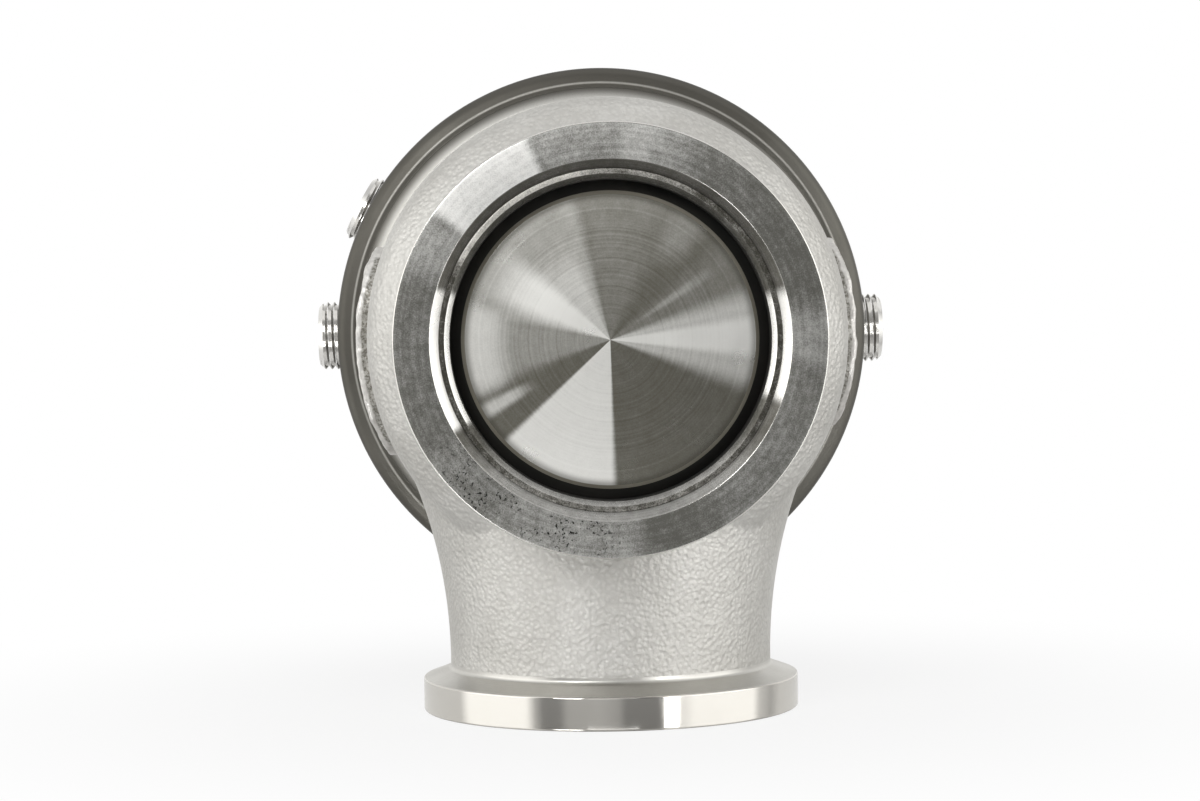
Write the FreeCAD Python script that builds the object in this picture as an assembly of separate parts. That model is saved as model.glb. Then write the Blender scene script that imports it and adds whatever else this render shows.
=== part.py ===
"""External turbo wastegate with V-band flanges, a poppet valve and a diaphragm actuator.

Frame, in millimetres: the origin is the centre of the outlet flange's face, +Z runs up along the
outlet bore, and the valve's axis runs along +Y, from the inlet face towards the actuator's cap.
A station is a distance along the valve's axis, counted from the inlet face.
"""

import FreeCAD, Part
import math
import os

cut_spare = 1.0             # how far a cutting shape runs past what it cuts

# ---- where the two passages cross --------------------------------------------------------------
axis_height = 51.6          # valve axis above the outlet face
clamp_room = 8.4            # inlet face to the front of the outlet neck
deck_reach = 27.0           # outlet axis to the deck that carries the actuator

# ---- V-band flanges ----------------------------------------------------------------------------
flange_land = 4.5           # turned rim, along the bore
flange_back_angle = 20.0    # slope of the clamped cone, degrees from the face
edge_break = 0.35
cone_foot_round = 0.6
inlet_flange_radius = 28.3
inlet_neck_radius = 24.8
outlet_flange_radius = 26.1
outlet_neck_radius = 22.3

# ---- cast body ---------------------------------------------------------------------------------
bowl_front_radius = 32.5
deck_radius = 34.0
inlet_neck_length = 3.8     # straight neck behind the inlet flange's cone
bowl_shoulder_length = 7.5  # slope from that neck out to the bowl
bowl_shoulder_blend = 6.0
bowl_neck_blend = 3.0
outlet_neck_straight = 1.2  # before the neck starts to flare
neck_depth_gain = 1.3       # how much the flared neck deepens, front and back
neck_sections = 5
neck_overlap = 1.0          # neck's start inside the flange's neck
neck_inset = 0.4            # neck's top inside the bowl's surface
casting_fillet = 2.0        # where the neck meets the bowl
chamber_radius = 28.0
chamber_throat_radius = 22.0
chamber_front = 10.0        # station where the throat starts to open
chamber_slope_length = 7.0
chamber_roof_blend = 4.0
roof_thickness = 7.0
outlet_bore_radius = 19.5
register_radius = 20.0      # spigot register at the outlet
register_depth = 6.0

# ---- seat and valve ----------------------------------------------------------------------------
seat_bore_radius = 20.9
seat_recess_radius = 22.3
seat_front = 1.2            # seat ring below the inlet face
seat_length = 6.1
seat_lead = 0.7             # inward chamfer at the ring's mouth
mouth_chamfer = 1.16        # chamfer of the flange's mouth round the ring
valve_face_station = 4.4
valve_face_radius = 19.0
valve_face_bevel = 0.5
valve_head_radius = 21.6
valve_margin = 1.8
valve_back_rise = 2.6
valve_tulip_radius = 9.0
valve_tulip_length = 9.0
seat_gap = 0.15             # closed valve to seat, along the axis
stem_radius = 4.0
valve_lift = 11.0

# ---- guide and stem seal -----------------------------------------------------------------------
guide_radius = 6.0
guide_overhang = 3.0        # guide beyond its boss
guide_stop_gap = 3.6        # valve's tulip to the guide at full lift
guide_lead = 0.8            # chamfer at the guide's lower end
guide_recess = 0.5          # guide below the deck
guide_boss_radius = 8.8
guide_boss_round = 1.0
guide_boss_flare = 1.2
running_gap = 0.05          # stem in guide, radial
seal_gap = 0.03             # stem in seal, radial
seal_radius = 8.0
seal_thickness = 4.5
retainer_thickness = 2.0
stem_clearance = 0.4        # stem through rigid plates, radial

# ---- side covers, welded over the casting's core openings --------------------------------------
cover_recess = 1.1          # plate's seat below the bowl's front radius
cover_thickness = 2.2
cover_half_width = 7.2      # along the valve axis
cover_station = 35.0
cover_half_lengths = {"left": 13.0, "right": 11.6}
weld_width = 1.6
weld_proud = 0.9            # bead above the cover

# ---- actuator base -----------------------------------------------------------------------------
gasket_thickness = 0.8
gasket_inset = 0.6
pad_overhang = 0.8          # raised pad on the base's underside, beyond the deck
underside_rise = 0.9
underside_width = 1.5
step_rise = 0.9
step_width = 0.8
shoulder_drop = 0.55
shoulder_round = 1.76
base_height = 20.2
floor_thickness = 8.0
shoulder_reach = 2.3        # shoulder beyond the step
floor_blend = 1.6

# ---- pressure ports, 1/8 NPT -------------------------------------------------------------------
port_thread_radius = 5.12
port_thread_gap = 0.05
port_depth = 8.0
port_passage_radius = 2.0
port_offset = 11.2          # port axis above the base's underside
plug_length = 6.9
plug_chamfer = 0.7
plug_hex = 4.76
plug_hex_depth = 3.6
plugs = {"left": (180.0, 3.1), "upper": (151.5, 1.7), "right": (0.0, 3.1)}  # angle, standing proud

# ---- screws that hold the base to the deck, M5 -------------------------------------------------
base_screw_count = 4
base_screw_circle = 20.0
base_screw_angle = 45.0
base_screw_radius = 2.5
base_screw_head_radius = 4.25
base_screw_head_height = 5.0
base_screw_length = 9.0
base_screw_hex = 4.0
base_screw_hole_gap = 0.25
counterbore_gap = 0.5
tapped_hole_spare = 0.4     # tapped hole beyond the screw's tip

# ---- screws that hold the cap to the base, M4 --------------------------------------------------
cap_screw_count = 6
cap_screw_edge = 4.2        # screws' circle inside the actuator's rim
cap_screw_angle = 15.0
cap_screw_radius = 2.0
cap_screw_head_radius = 3.5
cap_screw_head_height = 4.0
cap_screw_length = 14.0
cap_screw_hex = 3.0
cap_screw_hole_gap = 0.25
hex_depth_share = 0.55      # socket depth in a screw's head
head_chamfer_share = 0.08   # chamfer of a head in its radius

# ---- diaphragm stack on the stem ---------------------------------------------------------------
plate_gap = 3.0             # lower plate above the base's floor, valve closed
plate_inset = 0.6           # lower plate inside the cup's radius
plate_thickness = 2.0
plate_round = 0.8
diaphragm_thickness = 0.8
diaphragm_rim_inset = 0.4
diaphragm_wall_gap = 0.3    # diaphragm to the cup and to the actuator's bore
convolution_height = 9.5    # top of the roll above the centre disc
roll_width = 4.6            # cup to actuator bore
roll_round_share = 0.98     # roll's inside radius in half the room
diaphragm_disc_blend = 1.4
diaphragm_rim_blend = 0.3
cup_wall = 1.2
cup_spring_gap = 0.9
cup_height = 12.0
cup_blend = 2.4
washer_radius = 8.0
washer_thickness = 1.2
nut_across_flats = 10.0
nut_height = 5.0
thread_radius = 3.0
thread_spare = 1.5          # thread showing above the nut

# ---- springs, nested round the stem's washer ---------------------------------------------------
washer_spring_gap = 2.1
nest_gap = 1.8
inner_wire_radius = 1.2
middle_wire_radius = 1.4
outer_wire_radius = 1.6
inner_half_turns = 11
middle_half_turns = 10
outer_half_turns = 9
wire_sides = 16             # flats round the wire

# ---- cap ---------------------------------------------------------------------------------------
cap_flange_thickness = 6.0
cap_rim_round = 1.2
cap_land = 8.1              # flange outside the dome
dome_height = 28.0
dome_top_thickness = 4.0
dome_round = 7.0
dome_inner_round = 4.0
dome_foot_blend = 0.5
cap_boss_radius = 9.0
cap_boss_height = 4.0
cap_boss_round = 1.0
cap_boss_blend = 0.8

# ---- radii worked out from the stem outwards ---------------------------------------------------
inner_spring_radius = washer_radius + washer_spring_gap + inner_wire_radius
middle_spring_radius = inner_spring_radius + inner_wire_radius + nest_gap + middle_wire_radius
outer_spring_radius = middle_spring_radius + middle_wire_radius + nest_gap + outer_wire_radius
cup_radius = outer_spring_radius + outer_wire_radius + cup_spring_gap + cup_wall
plate_radius = cup_radius - plate_inset
actuator_bore_radius = cup_radius + roll_width
pad_radius = deck_radius + pad_overhang
step_radius = pad_radius + underside_width
actuator_radius = step_radius + step_width + shoulder_reach
cap_screw_circle = actuator_radius - cap_screw_edge
dome_radius = actuator_radius - cap_land
cover_seat_radius = bowl_front_radius - cover_recess
springs = {
    "outer_spring": (outer_spring_radius, outer_wire_radius, outer_half_turns),
    "middle_spring": (middle_spring_radius, middle_wire_radius, middle_half_turns),
    "inner_spring": (inner_spring_radius, inner_wire_radius, inner_half_turns),
}

# ---- stations worked out from the sizes above --------------------------------------------------
inlet_reach = outlet_neck_radius + neck_depth_gain + clamp_room
flange_slope = math.tan(math.radians(flange_back_angle))
inlet_cone_end = flange_land + (inlet_flange_radius - inlet_neck_radius) * flange_slope
bowl_shoulder_start = inlet_cone_end + inlet_neck_length
bowl_shoulder_end = bowl_shoulder_start + bowl_shoulder_length
deck = inlet_reach + deck_reach
roof = deck - roof_thickness
seat_back = seat_front + seat_length
valve_cone_start = valve_face_station + valve_face_bevel
valve_cone_radius = valve_face_radius + valve_face_bevel
valve_cone_end = valve_cone_start + valve_head_radius - valve_cone_radius
valve_margin_end = valve_cone_end + valve_margin
valve_back_end = valve_margin_end + valve_back_rise
tulip_end = valve_back_end + valve_tulip_length
guide_start = tulip_end + valve_lift + guide_stop_gap
boss_tip = guide_start + guide_overhang
base_bottom = deck + gasket_thickness
base_floor = base_bottom + floor_thickness
base_top = base_bottom + base_height
port_station = base_bottom + port_offset
seal_bottom = base_floor - retainer_thickness - seal_thickness
counterbore_floor = base_floor - base_screw_head_height
cap_bottom = base_top + diaphragm_thickness
cap_flange_top = cap_bottom + cap_flange_thickness
cap_top = cap_bottom + dome_height
ceiling = cap_top - dome_top_thickness
plate_bottom = base_floor + plate_gap
disc_bottom = plate_bottom + plate_thickness
cup_bottom = disc_bottom + diaphragm_thickness
cup_floor = cup_bottom + cup_wall
nut_bottom = cup_floor + washer_thickness
nut_top = nut_bottom + nut_height
stem_end = nut_top + thread_spare


def on_valve_axis(station, radius):
    """Point at a station and a radius, in the plane that valve-axis profiles are drawn in."""
    return FreeCAD.Vector(radius, station - inlet_reach, axis_height)


def on_outlet_axis(height, radius):
    """Point at a height and a radius, in the plane that outlet-axis profiles are drawn in."""
    return FreeCAD.Vector(radius, 0, height)


def around_valve(radius, angle, station):
    """Point at a radius and an angle round the valve's axis; angle 0 is +X and 90 is up."""
    turn = math.radians(angle)
    return FreeCAD.Vector(radius * math.cos(turn), station - inlet_reach,
                          axis_height + radius * math.sin(turn))


def corner(before, point, after, radius):
    """Start, middle and end of the arc that rounds one corner of an outline."""
    back = (before - point).normalize()
    ahead = (after - point).normalize()
    half = back.getAngle(ahead) / 2
    start = point + back * (radius / math.tan(half))
    end = point + ahead * (radius / math.tan(half))
    bisector = (back + ahead).normalize()
    middle = point + bisector * (radius / math.sin(half) - radius)
    return start, middle, end


def outline(profile, place):
    """Closed face through (along, radius) points; a third number rounds that corner."""
    points = [place(item[0], item[1]) for item in profile]
    arcs = []
    for index, item in enumerate(profile):
        if len(item) == 3:
            after = points[(index + 1) % len(points)]
            arcs.append(corner(points[index - 1], points[index], after, item[2]))
        else:
            arcs.append((points[index], None, points[index]))
    edges = []
    for index, (start, middle, end) in enumerate(arcs):
        if middle is not None:
            edges.append(Part.Arc(start, middle, end).toShape())
        following = arcs[(index + 1) % len(arcs)][0]
        if end.distanceToPoint(following) > 1e-6:
            edges.append(Part.LineSegment(end, following).toShape())
    return Part.Face(Part.Wire(edges))


def turned(profile):
    """Solid turned about the valve's axis."""
    centre = FreeCAD.Vector(0, 0, axis_height)
    return outline(profile, on_valve_axis).revolve(centre, FreeCAD.Vector(0, 1, 0), 360)


def spun(profile):
    """Solid turned about the outlet's axis."""
    origin = FreeCAD.Vector(0, 0, 0)
    return outline(profile, on_outlet_axis).revolve(origin, FreeCAD.Vector(0, 0, 1), 360)


def ring(inner, outer, start, end):
    """Plain ring about the valve's axis between two stations."""
    return turned([(start, inner), (start, outer), (end, outer), (end, inner)])


def drilled(radius, start, end, circle, angle):
    """Cylinder parallel to the valve's axis, on a bolt circle."""
    place = around_valve(circle, angle, start)
    return Part.makeCylinder(radius, end - start, place, FreeCAD.Vector(0, 1, 0))


def pattern(count, turn):
    """Angles of an evenly spaced bolt circle."""
    return [turn + index * 360.0 / count for index in range(count)]


def hexagon(across_flats, height):
    """Hexagonal prism standing on the XY plane."""
    reach = across_flats / math.sqrt(3)
    points = []
    for index in range(7):
        turn = math.radians(60 * index)
        points.append(FreeCAD.Vector(reach * math.cos(turn), reach * math.sin(turn), 0))
    return Part.Face(Part.makePolygon(points)).extrude(FreeCAD.Vector(0, 0, height))


def socket_screw(radius, length, head_radius, head_height, hex_size):
    """Socket-head screw whose head stands on the XY plane and whose shank points down."""
    shank = Part.makeCylinder(radius, length, FreeCAD.Vector(0, 0, -length))
    head = Part.makeCylinder(head_radius, head_height)
    head = head.makeChamfer(head_radius * head_chamfer_share, [head.Edges[0]])
    depth = head_height * hex_depth_share
    pocket = hexagon(hex_size, depth)
    pocket.translate(FreeCAD.Vector(0, 0, head_height - depth))
    return head.fuse(shank).removeSplitter().cut(pocket)


def stand_along_valve(shape, circle, angle, station):
    """Turn a shape's +Z to the valve's axis and set it on a bolt circle."""
    turn = FreeCAD.Rotation(FreeCAD.Vector(0, 0, 1), FreeCAD.Vector(0, 1, 0))
    shape.Placement = FreeCAD.Placement(around_valve(circle, angle, station), turn)
    return shape


# ---- valve housing -----------------------------------------------------------------------------
def flange_profile(flange_radius, neck_radius, neck_end):
    """Face, broken edge, land, clamped cone and neck of a V-band flange, as an outline's points."""
    cone_end = flange_land + (flange_radius - neck_radius) * flange_slope
    return [
        (0, 0),
        (0, flange_radius - edge_break),
        (edge_break, flange_radius),
        (flange_land, flange_radius),
        (cone_end, neck_radius, cone_foot_round),
        (neck_end, neck_radius),
        (neck_end, 0),
    ]


def bowl_radius_at(station):
    """Outside radius of the drafted bowl at a station."""
    share = (station - bowl_shoulder_end) / (deck - bowl_shoulder_end)
    return bowl_front_radius + share * (deck_radius - bowl_front_radius)


def bowl():
    """Inlet flange, inlet neck and the drafted bowl behind it, solid."""
    flange = flange_profile(inlet_flange_radius, inlet_neck_radius, bowl_shoulder_start)
    return turned(flange[:5] + [
        (bowl_shoulder_start, inlet_neck_radius, bowl_neck_blend),
        (bowl_shoulder_end, bowl_front_radius, bowl_shoulder_blend),
        (deck, deck_radius),
        (deck, 0),
    ])


def flared_neck():
    """Outlet neck: its sides are arcs that leave the neck upright and run tangent into the bowl."""
    cone_end = flange_land + (outlet_flange_radius - outlet_neck_radius) * flange_slope
    start = cone_end + outlet_neck_straight
    bowl_radius = bowl_radius_at(inlet_reach) - neck_inset
    rise = axis_height - start
    chord = outlet_neck_radius ** 2 + rise ** 2 - bowl_radius ** 2
    flare = chord / (2 * (bowl_radius - outlet_neck_radius))
    height = rise - rise * bowl_radius / (flare + bowl_radius)
    sections = [section(start - neck_overlap, outlet_neck_radius, outlet_neck_radius)]
    for index in range(neck_sections):
        lift = height * (index + 0.5) / (neck_sections - 0.5)
        half_width = outlet_neck_radius + flare - math.sqrt(flare ** 2 - lift ** 2)
        half_depth = outlet_neck_radius + neck_depth_gain * (lift / height) ** 2
        sections.append(section(start + lift, half_width, half_depth))
    return Part.makeLoft(sections, True)


def section(height, half_width, half_depth):
    """Level ellipse about the outlet's axis, wider across than it is deep."""
    centre = FreeCAD.Vector(0, 0, height)
    if half_width - half_depth < 1e-6:
        return Part.Wire(Part.Circle(centre, FreeCAD.Vector(0, 0, 1), half_width).toShape())
    side = FreeCAD.Vector(half_width, 0, height)
    front = FreeCAD.Vector(0, half_depth, height)
    return Part.Wire(Part.Ellipse(side, front, centre).toShape())


def stadium(half_length, half_width, side):
    """Round-ended block that reaches out from the valve's axis, through one flank of the bowl."""
    reach = actuator_radius
    straight = half_length - half_width
    y = cover_station - inlet_reach
    block = Part.makeBox(2 * half_width, reach, 2 * straight)
    turn = FreeCAD.Rotation(FreeCAD.Vector(0, 0, 1), -90 * side)
    block.Placement = FreeCAD.Placement(
        FreeCAD.Vector(0, y + half_width * side, axis_height - straight), turn)
    for end in (-straight, straight):
        centre = FreeCAD.Vector(0, y, axis_height + end)
        block = block.fuse(Part.makeCylinder(half_width, reach, centre, FreeCAD.Vector(side, 0, 0)))
    return block.removeSplitter()


def cover_pocket(name):
    """What the casting loses for one side cover and its weld."""
    side = 1 if name == "right" else -1
    half_length = cover_half_lengths[name] + weld_width
    shell = ring(cover_seat_radius, actuator_radius, chamber_front, deck)
    return stadium(half_length, cover_half_width + weld_width, side).common(shell)


def side_cover(name):
    """Curved plate that closes one core opening."""
    side = 1 if name == "right" else -1
    top = cover_seat_radius + cover_thickness
    shell = ring(cover_seat_radius, top, chamber_front, deck)
    return stadium(cover_half_lengths[name], cover_half_width, side).common(shell)


def side_weld(name):
    """Bead round one side cover, standing proud of it."""
    side = 1 if name == "right" else -1
    top = cover_seat_radius + cover_thickness + weld_proud
    shell = ring(cover_seat_radius, top, chamber_front, deck)
    bead = stadium(cover_half_lengths[name] + weld_width, cover_half_width + weld_width, side)
    return bead.common(shell).cut(stadium(cover_half_lengths[name], cover_half_width, side))


def chamber():
    """Space inside the casting round the valve, with the mouth and the seat's recess."""
    return turned([
        (-cut_spare, 0),
        (-cut_spare, seat_recess_radius + mouth_chamfer + cut_spare),
        (mouth_chamfer, seat_recess_radius),
        (seat_back, seat_recess_radius),
        (seat_back, chamber_throat_radius),
        (chamber_front, chamber_throat_radius),
        (chamber_front + chamber_slope_length, chamber_radius),
        (roof, chamber_radius, chamber_roof_blend),
        (roof, 0),
    ])


def guide_boss():
    """Boss under the roof that holds the valve's guide."""
    return turned([
        (boss_tip, 0),
        (boss_tip, guide_boss_radius, guide_boss_round),
        (roof, guide_boss_radius + guide_boss_flare),
        (roof + roof_thickness / 2, guide_boss_radius),
        (roof + roof_thickness / 2, 0),
    ])


def outlet_bore():
    """Outlet passage with its spigot register."""
    top = axis_height - chamber_radius / 2
    return spun([
        (-cut_spare, 0),
        (-cut_spare, register_radius),
        (register_depth, register_radius),
        (register_depth, outlet_bore_radius),
        (top, outlet_bore_radius),
        (top, 0),
    ])


def neck_joins(body):
    """Edges where the lofted neck meets the turned bowl."""
    joins = []
    for edge in body.Edges:
        kinds = {type(face.Surface).__name__ for face in body.ancestorsOfType(edge, Part.Face)}
        if "BSplineSurface" in kinds and kinds & {"Cone", "Toroid"}:
            joins.append(edge)
    return joins


def casting():
    """Outside of the casting, solid, with the neck blended into the bowl."""
    outlet = spun(flange_profile(outlet_flange_radius, outlet_neck_radius, axis_height / 2))
    body = bowl().fuse([flared_neck(), outlet])
    return body.makeFillet(casting_fillet, neck_joins(body))


def valve_housing():
    """Cast body with two V-band flanges, flared outlet neck, chamber and guide boss."""
    body = casting().cut([chamber(), outlet_bore(), cover_pocket("left"), cover_pocket("right")])
    body = body.fuse(guide_boss())
    holes = [drilled(guide_radius, boss_tip - cut_spare, deck + cut_spare, 0, 0)]
    tip = counterbore_floor - base_screw_length - tapped_hole_spare
    for angle in pattern(base_screw_count, base_screw_angle):
        holes.append(drilled(base_screw_radius, tip, deck + cut_spare, base_screw_circle, angle))
    return body.cut(holes)


# ---- seat, valve and what guides it ------------------------------------------------------------
def valve_seat():
    """Pressed-in ring with a 45 degree seat on its inner end."""
    seat_edge = valve_cone_start + seat_bore_radius - valve_cone_radius - seat_gap
    return turned([
        (seat_front, seat_bore_radius + seat_lead),
        (seat_front, seat_recess_radius),
        (seat_back, seat_recess_radius),
        (seat_back, seat_bore_radius + seat_back - seat_edge),
        (seat_edge, seat_bore_radius),
        (seat_front + seat_lead, seat_bore_radius),
    ])


def valve():
    """Poppet with a flat bevelled face, a 45 degree seat, a tulip back and a threaded stem end."""
    return turned([
        (valve_face_station, 0),
        (valve_face_station, valve_face_radius),
        (valve_cone_start, valve_cone_radius),
        (valve_cone_end, valve_head_radius),
        (valve_margin_end, valve_head_radius),
        (valve_back_end, valve_tulip_radius, valve_tulip_radius),
        (tulip_end, stem_radius),
        (plate_bottom, stem_radius),
        (plate_bottom, thread_radius),
        (stem_end - edge_break, thread_radius),
        (stem_end, thread_radius - edge_break),
        (stem_end, 0),
    ])


def valve_guide():
    """Bronze guide pressed through the roof."""
    bore = stem_radius + running_gap
    return turned([
        (guide_start, bore),
        (guide_start, guide_radius - guide_lead),
        (guide_start + guide_lead, guide_radius),
        (deck - guide_recess, guide_radius),
        (deck - guide_recess, bore),
    ])


def stem_seal():
    """Graphite seal in the base's pocket."""
    return ring(stem_radius + seal_gap, seal_radius, seal_bottom, seal_bottom + seal_thickness)


def seal_retainer():
    """Pressed washer that keeps the seal down."""
    return ring(stem_radius + stem_clearance, seal_radius, base_floor - retainer_thickness, base_floor)


# ---- actuator ----------------------------------------------------------------------------------
def base_screw_angles():
    """Angles of the screws between the base and the deck."""
    return pattern(base_screw_count, base_screw_angle)


def cap_screw_angles():
    """Angles of the screws between the cap and the base."""
    return pattern(cap_screw_count, cap_screw_angle)


def drilled_for_cap_screws(body, start, end):
    """Body with a clearance hole for every cap screw between two stations."""
    hole = cap_screw_radius + cap_screw_hole_gap
    return body.cut([drilled(hole, start - cut_spare, end + cut_spare, cap_screw_circle, angle)
                     for angle in cap_screw_angles()])


def housing_gasket():
    """Flat gasket between the deck and the actuator's base."""
    body = ring(guide_radius + gasket_inset, deck_radius - gasket_inset, deck, base_bottom)
    hole = base_screw_radius + base_screw_hole_gap
    return body.cut([drilled(hole, deck - cut_spare, base_bottom + cut_spare, base_screw_circle, angle)
                     for angle in base_screw_angles()])


def port_hole(angle):
    """Threaded port and the passage from it into the actuator's bore."""
    mouth = around_valve(actuator_radius + cut_spare, angle, port_station)
    inward = around_valve(0, 0, port_station) - mouth
    thread_hole = port_thread_radius + port_thread_gap
    thread = Part.makeCylinder(thread_hole, port_depth + cut_spare, mouth, inward)
    length = actuator_radius - actuator_bore_radius + 2 * cut_spare
    return thread.fuse(Part.makeCylinder(port_passage_radius, length, mouth, inward))


def actuator_base():
    """Lower half of the actuator: stepped underside, rounded shoulder and three side ports."""
    underside = base_bottom + underside_rise
    step = underside + step_rise
    body = turned([
        (base_bottom, stem_radius + stem_clearance),
        (base_bottom, pad_radius),
        (underside, step_radius),
        (step, step_radius),
        (step, step_radius + step_width),
        (step + shoulder_drop, actuator_radius, shoulder_round),
        (base_top, actuator_radius),
        (base_top, actuator_bore_radius),
        (base_floor, actuator_bore_radius, floor_blend),
        (base_floor, seal_radius),
        (seal_bottom, seal_radius),
        (seal_bottom, stem_radius + stem_clearance),
    ])
    holes = [port_hole(angle) for angle, proud in plugs.values()]
    clearance = base_screw_radius + base_screw_hole_gap
    head = base_screw_head_radius + counterbore_gap
    for angle in base_screw_angles():
        holes.append(drilled(clearance, base_bottom - cut_spare, base_floor, base_screw_circle, angle))
        holes.append(drilled(head, counterbore_floor, base_floor + cut_spare, base_screw_circle, angle))
    tip = cap_flange_top - cap_screw_length - tapped_hole_spare
    for angle in cap_screw_angles():
        holes.append(drilled(cap_screw_radius, tip, base_top + cut_spare, cap_screw_circle, angle))
    return body.cut(holes)


def actuator_cap():
    """Domed cap with a screwed flange and a threaded port on top."""
    boss_top = cap_top + cap_boss_height
    thread = port_thread_radius + port_thread_gap
    body = turned([
        (cap_bottom, actuator_bore_radius),
        (cap_bottom, actuator_radius),
        (cap_flange_top, actuator_radius, cap_rim_round),
        (cap_flange_top, dome_radius, dome_foot_blend),
        (cap_top, dome_radius, dome_round),
        (cap_top, cap_boss_radius, cap_boss_blend),
        (boss_top, cap_boss_radius, cap_boss_round),
        (boss_top, thread),
        (ceiling, thread),
        (ceiling, actuator_bore_radius, dome_inner_round),
    ])
    return drilled_for_cap_screws(body, cap_bottom, cap_flange_top)


def port_plug(angle, proud):
    """Taper plug in one side port, with a hexagon socket in its outer end."""
    body = Part.makeCylinder(port_thread_radius, plug_length)
    body = body.makeChamfer(plug_chamfer, [body.Edges[0], body.Edges[2]])
    pocket = hexagon(plug_hex, plug_hex_depth)
    pocket.translate(FreeCAD.Vector(0, 0, plug_length - plug_hex_depth))
    body = body.cut(pocket)
    end = actuator_radius + proud
    start = around_valve(end - plug_length, angle, port_station)
    outward = around_valve(end, angle, port_station) - start
    turn = FreeCAD.Rotation(FreeCAD.Vector(0, 0, 1), outward)
    body.Placement = FreeCAD.Placement(start, turn)
    return body


def base_screw(angle):
    """One screw that holds the base to the deck."""
    screw = socket_screw(base_screw_radius, base_screw_length, base_screw_head_radius,
                         base_screw_head_height, base_screw_hex)
    return stand_along_valve(screw, base_screw_circle, angle, counterbore_floor)


def cap_screw(angle):
    """One screw that holds the cap to the base."""
    screw = socket_screw(cap_screw_radius, cap_screw_length, cap_screw_head_radius,
                         cap_screw_head_height, cap_screw_hex)
    return stand_along_valve(screw, cap_screw_circle, angle, cap_flange_top)


# ---- diaphragm stack ---------------------------------------------------------------------------
def lower_plate():
    """Plate under the diaphragm, seated on the stem's shoulder."""
    return turned([
        (plate_bottom, thread_radius),
        (plate_bottom, plate_radius, plate_round),
        (disc_bottom, plate_radius),
        (disc_bottom, thread_radius),
    ])


def diaphragm():
    """Rolling diaphragm: clamped rim, one deep convolution and a disc clamped on the stem."""
    skin = diaphragm_thickness
    cup_side = cup_radius + diaphragm_wall_gap
    wall_side = actuator_bore_radius - diaphragm_wall_gap
    roll = disc_bottom + convolution_height
    inside_round = (wall_side - cup_side - 2 * skin) / 2 * roll_round_share
    outside_round = inside_round + skin
    rim = actuator_radius - diaphragm_rim_inset
    body = turned([
        (disc_bottom, thread_radius),
        (disc_bottom, cup_side + skin, diaphragm_disc_blend),
        (roll, cup_side + skin, inside_round),
        (roll, wall_side - skin, inside_round),
        (base_top, wall_side - skin, diaphragm_rim_blend),
        (base_top, rim),
        (cap_bottom, rim),
        (cap_bottom, wall_side, diaphragm_rim_blend),
        (roll + skin, wall_side, outside_round),
        (roll + skin, cup_side, outside_round),
        (cup_bottom, cup_side, diaphragm_disc_blend - skin),
        (cup_bottom, thread_radius),
    ])
    return drilled_for_cap_screws(body, base_top, cap_bottom)


def spring_cup():
    """Drawn cup that carries the springs and shapes the diaphragm's roll."""
    rim = cup_bottom + cup_height
    return turned([
        (cup_bottom, thread_radius),
        (cup_bottom, cup_radius, cup_blend),
        (rim, cup_radius),
        (rim, cup_radius - cup_wall),
        (cup_floor, cup_radius - cup_wall, cup_blend - cup_wall),
        (cup_floor, thread_radius),
    ])


def stem_washer():
    """Thick washer under the stem's nut."""
    return ring(thread_radius, washer_radius, cup_floor, nut_bottom)


def stem_nut():
    """Hexagon nut that clamps the stack on the stem."""
    nut = stand_along_valve(hexagon(nut_across_flats, nut_height), 0, 0, nut_bottom)
    return nut.cut(drilled(thread_radius, nut_bottom - cut_spare, nut_top + cut_spare, 0, 0))


def half_turn(mean_radius, wire_radius, side, height, rise):
    """Half a coil: wire carried round a semicircle that is tilted to climb by the rise."""
    start = FreeCAD.Vector(side * mean_radius, 0, height)
    centre = FreeCAD.Vector(0, 0, height + rise / 2)
    axis = (start - centre).cross(FreeCAD.Vector(0, side, 0))
    points = []
    for index in range(wire_sides + 1):
        turn = 2 * math.pi * (index + 0.5) / wire_sides
        points.append(start + FreeCAD.Vector(math.cos(turn), 0, math.sin(turn)) * wire_radius)
    return Part.Face(Part.makePolygon(points)).revolve(centre, axis, 180)


def spring(mean_radius, wire_radius, half_turns):
    """Compression spring between the cup's floor and the cap's ceiling."""
    rise = (ceiling - cup_floor - 2 * wire_radius) / half_turns
    coils = []
    for index in range(half_turns):
        side = 1 - 2 * (index % 2)
        coils.append(half_turn(mean_radius, wire_radius, side, rise * index, rise))
    coil = coils[0].fuse(coils[1:]).removeSplitter()
    return stand_along_valve(coil, 0, 0, cup_floor + wire_radius)


def pieces():
    """Every node of the assembly by name."""
    nodes = {
        "valve_housing": valve_housing(),
        "valve_seat": valve_seat(),
        "valve": valve(),
        "valve_guide": valve_guide(),
        "stem_seal": stem_seal(),
        "seal_retainer": seal_retainer(),
        "housing_gasket": housing_gasket(),
        "actuator_base": actuator_base(),
        "lower_plate": lower_plate(),
        "diaphragm": diaphragm(),
        "spring_cup": spring_cup(),
        "stem_washer": stem_washer(),
        "stem_nut": stem_nut(),
        "actuator_cap": actuator_cap(),
    }
    for name in cover_half_lengths:
        nodes["side_cover_" + name] = side_cover(name)
        nodes["side_weld_" + name] = side_weld(name)
    for name, (angle, proud) in plugs.items():
        nodes["port_plug_" + name] = port_plug(angle, proud)
    for name, (mean_radius, wire_radius, half_turns) in springs.items():
        nodes[name] = spring(mean_radius, wire_radius, half_turns)
    for index, angle in enumerate(base_screw_angles()):
        nodes["base_screw_%d" % (index + 1)] = base_screw(angle)
    for index, angle in enumerate(cap_screw_angles()):
        nodes["cap_screw_%d" % (index + 1)] = cap_screw(angle)
    return nodes


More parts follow.
